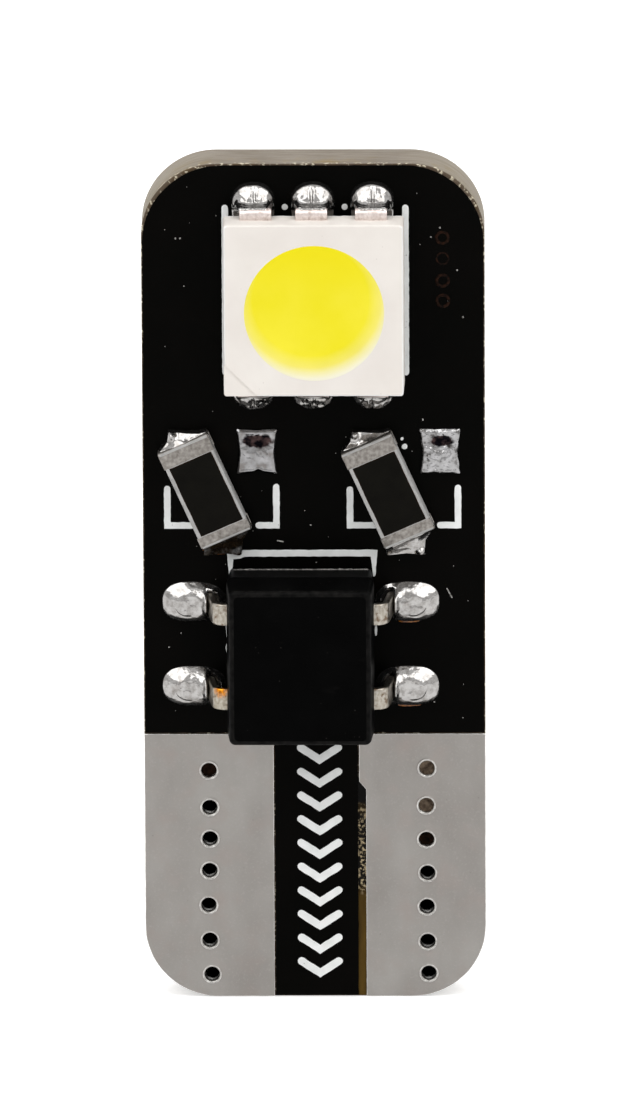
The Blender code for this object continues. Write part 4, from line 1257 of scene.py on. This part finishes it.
# What shows of the line beside the rectifier's joints, as u, top and bottom
SLIVERS = ((-2.515, 11.5, 10.9), (-2.52, 10.7, 10.45), (-2.51, 9.0, 8.6), (1.77, 11.3, 10.95),
           (1.765, 9.1, 8.8))
ARROW_U, ARROW_V, ARROW_HALF, ARROW_DROP, ARROW_PITCH, ARROW_LINE = 0.13, 7.55, 0.54, 0.36, 0.72, 0.23
ARROWS = 10
TENTED = ((3.72, 22.86), (3.72, 21.58), (3.73, 20.98), (3.72, 22.24))
FAINT_TENTED = 3
TENT_RADIUS, TENT_THICK, FAINT_THICK = 0.17, 0.045, 0.0275
# Each pool of flux as u, v, half width, half height and height
POOLS = ((2.72, 11.39, 0.3, 0.07, 0.03), (2.72, 8.86, 0.34, 0.07, 0.03), (-2.8, 13.52, 0.42, 0.14, 0.05),
         (-2.35, 13.6, 0.2, 0.1, 0.03), (2.6, 13.55, 0.3, 0.1, 0.04))
DUST_SPECKS = 90
DUST_SIZES = (0.01, 0.012, 0.014, 0.018, 0.026)
# Each fibre as u, v, length and turn
FIBRES = ((3.83, 12.35, 0.3, -1.1), (-1.05, 13.8, 0.16, -0.2))


def ink(name, outlines, seed):
    """Legend ink printed on the mask, one closed outline for each mark."""
    shapes = [plate([wander(outline, 0.012, 0.06, seed + i)], MASK_TOP, INK_TOP, 0.005, 1)
              for i, outline in enumerate(outlines)]
    piece(name, joined(*shapes), [INK])


def legend():
    """The white marks on the front."""
    lines = [ribbon([(u, LED_LINE_LOW), (u, LED_LINE_HIGH)], LINE) for u in LED_LINES]
    ink("legend_led", lines + [circle(u, LED_DOT_V, LED_DOT_RADIUS, 14) for u in LED_DOTS], 1)
    for label, (seed, left, right) in BRACKETS.items():
        marks = [ribbon([(outer, tip), (outer, BRACKET_V), (inner, BRACKET_V)][::way], LINE)
                 for outer, inner, tip, way in ((*left, 1), (*right, -1))]
        ink(f"legend_resistor_{label}", marks, seed)
    ink("legend_rectifier", [ribbon(RECTIFIER_LINE, RECTIFIER_WIDTHS)], 13)
    ink("legend_sides", [ribbon([(u, top), (u, (top + bottom) / 2), (u, bottom)], (0.03, 0.09, 0.04))
                         for u, top, bottom in SLIVERS], 15)
    ink("legend_specks", [circle(2.62, 16.62, 0.085, 12), circle(2.54, 16.86, 0.05, 9)], 17)


def strip_marks():
    """Chevrons that point to the foot, on the strip between the contacts."""
    left, right = ARROW_U - ARROW_HALF, ARROW_U + ARROW_HALF
    marks = []
    for k in range(ARROWS):
        v = ARROW_V - k * ARROW_PITCH
        marks.append(ribbon([(left, v), (ARROW_U, v - ARROW_DROP), (right, v)], ARROW_LINE))
    ink("legend_arrows", marks, 21)


def ring(u, v, radius, thick):
    """A low ring on the mask."""
    shape = bmesh.new()
    profile = [(radius + thick * c, MASK_TOP + 0.35 * thick * s) for c, s in compass(8)]
    skin(shape, turned(shape, profile, 28, u, v), looped=True)
    return shape


def tented_holes():
    """Small holes under the mask, each seen as a low ring."""
    shapes = [ring(u, v, TENT_RADIUS, FAINT_THICK if number == FAINT_TENTED else TENT_THICK)
              for number, (u, v) in enumerate(TENTED)]
    piece("tented_holes", joined(*shapes), [TENT])


def pool(u, v, half_u, half_v, height, seed):
    """A shallow pool on the mask."""
    reach = superellipse(half_u, half_v)

    def outline(angle):
        x, y = reach(angle)
        swell = 1 + 0.25 * ripple(math.cos(angle), math.sin(angle), 0.7, seed)
        return u + x * swell, v + y * swell

    def surface(x, y, share):
        return MASK_TOP + height * max(0.0, 1 - share**2) ** 0.7 * (1 + 0.3 * ripple(x, y, 0.15, seed))

    return blob(outline, surface, MASK_TOP - 0.01, 36, 8, (u, v))


def flux():
    """Amber residue beside the rectifier's joints and under the resistors' lower ends."""
    piece("flux_residue", joined(*(pool(*place, seed) for seed, place in enumerate(POOLS, 1))), [FLUX])


def dust():
    """Fine pale specks and a few fibres caught on the mask."""
    chance = random.Random(8)
    shapes = []
    for number in range(DUST_SPECKS):
        u, v = chance.uniform(-4.6, 4.6), chance.uniform(8.4, 24.4)
        size = chance.choice(DUST_SIZES)
        shapes.append(pool(u, v, size, size * chance.uniform(0.7, 1.3), size, number))
    for u, v, length, turn in FIBRES:
        end = Vector((u, v)) + Vector((math.cos(turn), math.sin(turn))) * length
        shapes.append(plate([ribbon([(u, v), end], 0.035)], MASK_TOP, MASK_TOP + 0.02, 0.004, 1))
    piece("dust", joined(*shapes), [DUST])


# Build


def led_windows(centre):
    """Mask openings of one LED's pads."""
    return [window(led_pad(0), (0, LED_DOME), turn, at) for at, turn in led_places(centre)]


def front_windows(centre, bridge_middle):
    """Mask openings of every pad on the front."""
    openings = led_windows(centre)
    for at, turn in bridge_places(bridge_middle):
        openings.append(window(bridge_pad(0), (0, BRIDGE_FOOT), turn, at))
    for prefix in ("resistor_left", "resistor_right"):
        for pad in footprint(face_place(f"{prefix}_ceramic")[0]):
            openings.append(window(chip_pad(pad, FOOTPRINT_PAD), pad))
    return openings


def back_windows(centre):
    """Mask openings of every pad on the back."""
    openings = led_windows(centre)
    length, width, _, _ = LOAD
    for prefix in ("load_lower", "load_upper"):
        v = face_place(f"{prefix}_ceramic", BACK)[0].y
        for side in (-1, 1):
            pad = (side * (length / 2 - 0.2), v)
            openings.append(window(chip_pad(pad, (0.6, width / 2 + 0.05)), pad))
    return openings


def build():
    """Makes every piece."""
    board()
    contact("contact_left", -1, LEFT_HOLES)
    contact("contact_right", 1, RIGHT_HOLES)
    plugs()
    bridge_middle = face_place("bridge_body")[0]
    front_centre = led("front_led", FRONT)
    back_centre = led("back_led", BACK)
    mask("solder_mask_front", FRONT, front_windows(front_centre, bridge_middle))
    mask("solder_mask_back", BACK, back_windows(back_centre))
    led_joints("front_led", FRONT, front_centre)
    led_joints("back_led", BACK, back_centre)
    bridge(bridge_middle)
    front_resistors()
    load_resistors()
    legend()
    strip_marks()
    tented_holes()
    flux()
    dust()


# Stage


# Half the board's height, in metres
TARGET = Vector((0, 0, 0.0125))
FLOOR_HALF_SIZE, FLOOR_LEVEL = 2.0, -0.00002
# The strength of the surroundings as a light and as they look, and the glow added to the floor's look
SKY_LIGHT, SKY_LOOK, FLOOR_GLOW = 0.38, 1.0, 0.55


def looked_at(tree):
    """1 on the rays that show a thing itself: from the camera, mirrored or through glass."""
    light = tree.nodes.new("ShaderNodeLightPath").outputs
    seen = light["Is Camera Ray"]
    for kind in ("Is Glossy Ray", "Is Transmission Ray"):
        step = tree.nodes.new("ShaderNodeMath")
        step.operation = "MAXIMUM"
        tree.links.new(seen, step.inputs[0])
        tree.links.new(light[kind], step.inputs[1])
        seen = step.outputs[0]
    return seen


def floor():
    """A plain pale floor under the foot, which keeps the object's shadow."""
    made = Finish("floor", specular=0.0)
    made.colour(made.mix(made.noise(40, 2), (231.11, 231.11, 231.11), (233.65, 233.65, 233.65)))
    glow = made.times(looked_at(made.tree), FLOOR_GLOW)
    made.feed(made.shader, {"Roughness": 0.9, "Emission Color": (1, 1, 1, 1), "Emission Strength": glow})
    shape = bmesh.new()
    bmesh.ops.create_grid(shape, x_segments=8, y_segments=8, size=FLOOR_HALF_SIZE)
    bmesh.ops.translate(shape, verts=shape.verts, vec=(0, 0, FLOOR_LEVEL))
    data = as_data("floor", shape)
    data.materials.append(made.material)
    linked("floor", data)


def surroundings():
    """Even white surroundings, dimmer as a light than they look."""
    world = bpy.data.worlds.new("surroundings")
    bpy.context.scene.world = world
    world.use_nodes = True
    tree = world.node_tree
    spread = tree.nodes.new("ShaderNodeMapRange")
    spread.inputs["To Min"].default_value = SKY_LIGHT
    spread.inputs["To Max"].default_value = SKY_LOOK
    tree.links.new(looked_at(tree), spread.inputs["Value"])
    background = tree.nodes["Background"]
    background.inputs["Color"].default_value = (1, 1, 1, 1)
    tree.links.new(spread.outputs[0], background.inputs["Strength"])


def lamp(name, place, size, watts):
    """A soft rectangular lamp that faces the object, its place and size in metres."""
    data = bpy.data.lights.new(name, "AREA")
    data.shape = "RECTANGLE"
    data.size, data.size_y = size
    data.energy = watts
    obj = linked(name, data)
    obj.location = place
    obj.rotation_mode = "QUATERNION"
    obj.rotation_quaternion = (TARGET - obj.location).to_track_quat("-Z", "Y")


def camera():
    """The photograph's view: nearly square on, from a little above."""
    elevation, azimuth, roll = (math.radians(a) for a in (16.824, 0.614, -0.257))
    back = Vector((math.sin(azimuth) * math.cos(elevation), -math.cos(azimuth) * math.cos(elevation),
                   math.sin(elevation)))
    right = (-back).cross(Vector((0, 0, 1))).normalized()
    up = right.cross(-back)
    right, up = right * math.cos(roll) + up * math.sin(roll), up * math.cos(roll) - right * math.sin(roll)
    # Metres, then pixels of the photograph
    distance = 0.6
    focal_pixels, long_side_pixels = 20785, 1114
    sideways_pixels, upward_pixels = 5.0, 18.1
    data = bpy.data.cameras.new("camera")
    data.sensor_width = 36
    data.lens = focal_pixels * data.sensor_width / long_side_pixels
    data.clip_start, data.clip_end = 0.1, 10
    obj = linked("camera", data)
    centre = TARGET + (up * upward_pixels - right * sideways_pixels) * distance / focal_pixels
    rows = Matrix((right, up, back)).transposed().to_4x4()
    obj.matrix_world = Matrix.Translation(centre + back * distance) @ rows
    bpy.context.scene.camera = obj


build()
floor()
surroundings()
lamp("lamp_left", (-0.18, -0.14, 0.288), (0.26, 0.32), 0.67)
lamp("lamp_right", (0.18, -0.14, 0.288), (0.26, 0.32), 0.67)
lamp("lamp_back", (0.0, 0.3, 0.25), (0.2, 0.2), 0.4)
camera()
bpy.context.scene.view_settings.view_transform = "Standard"
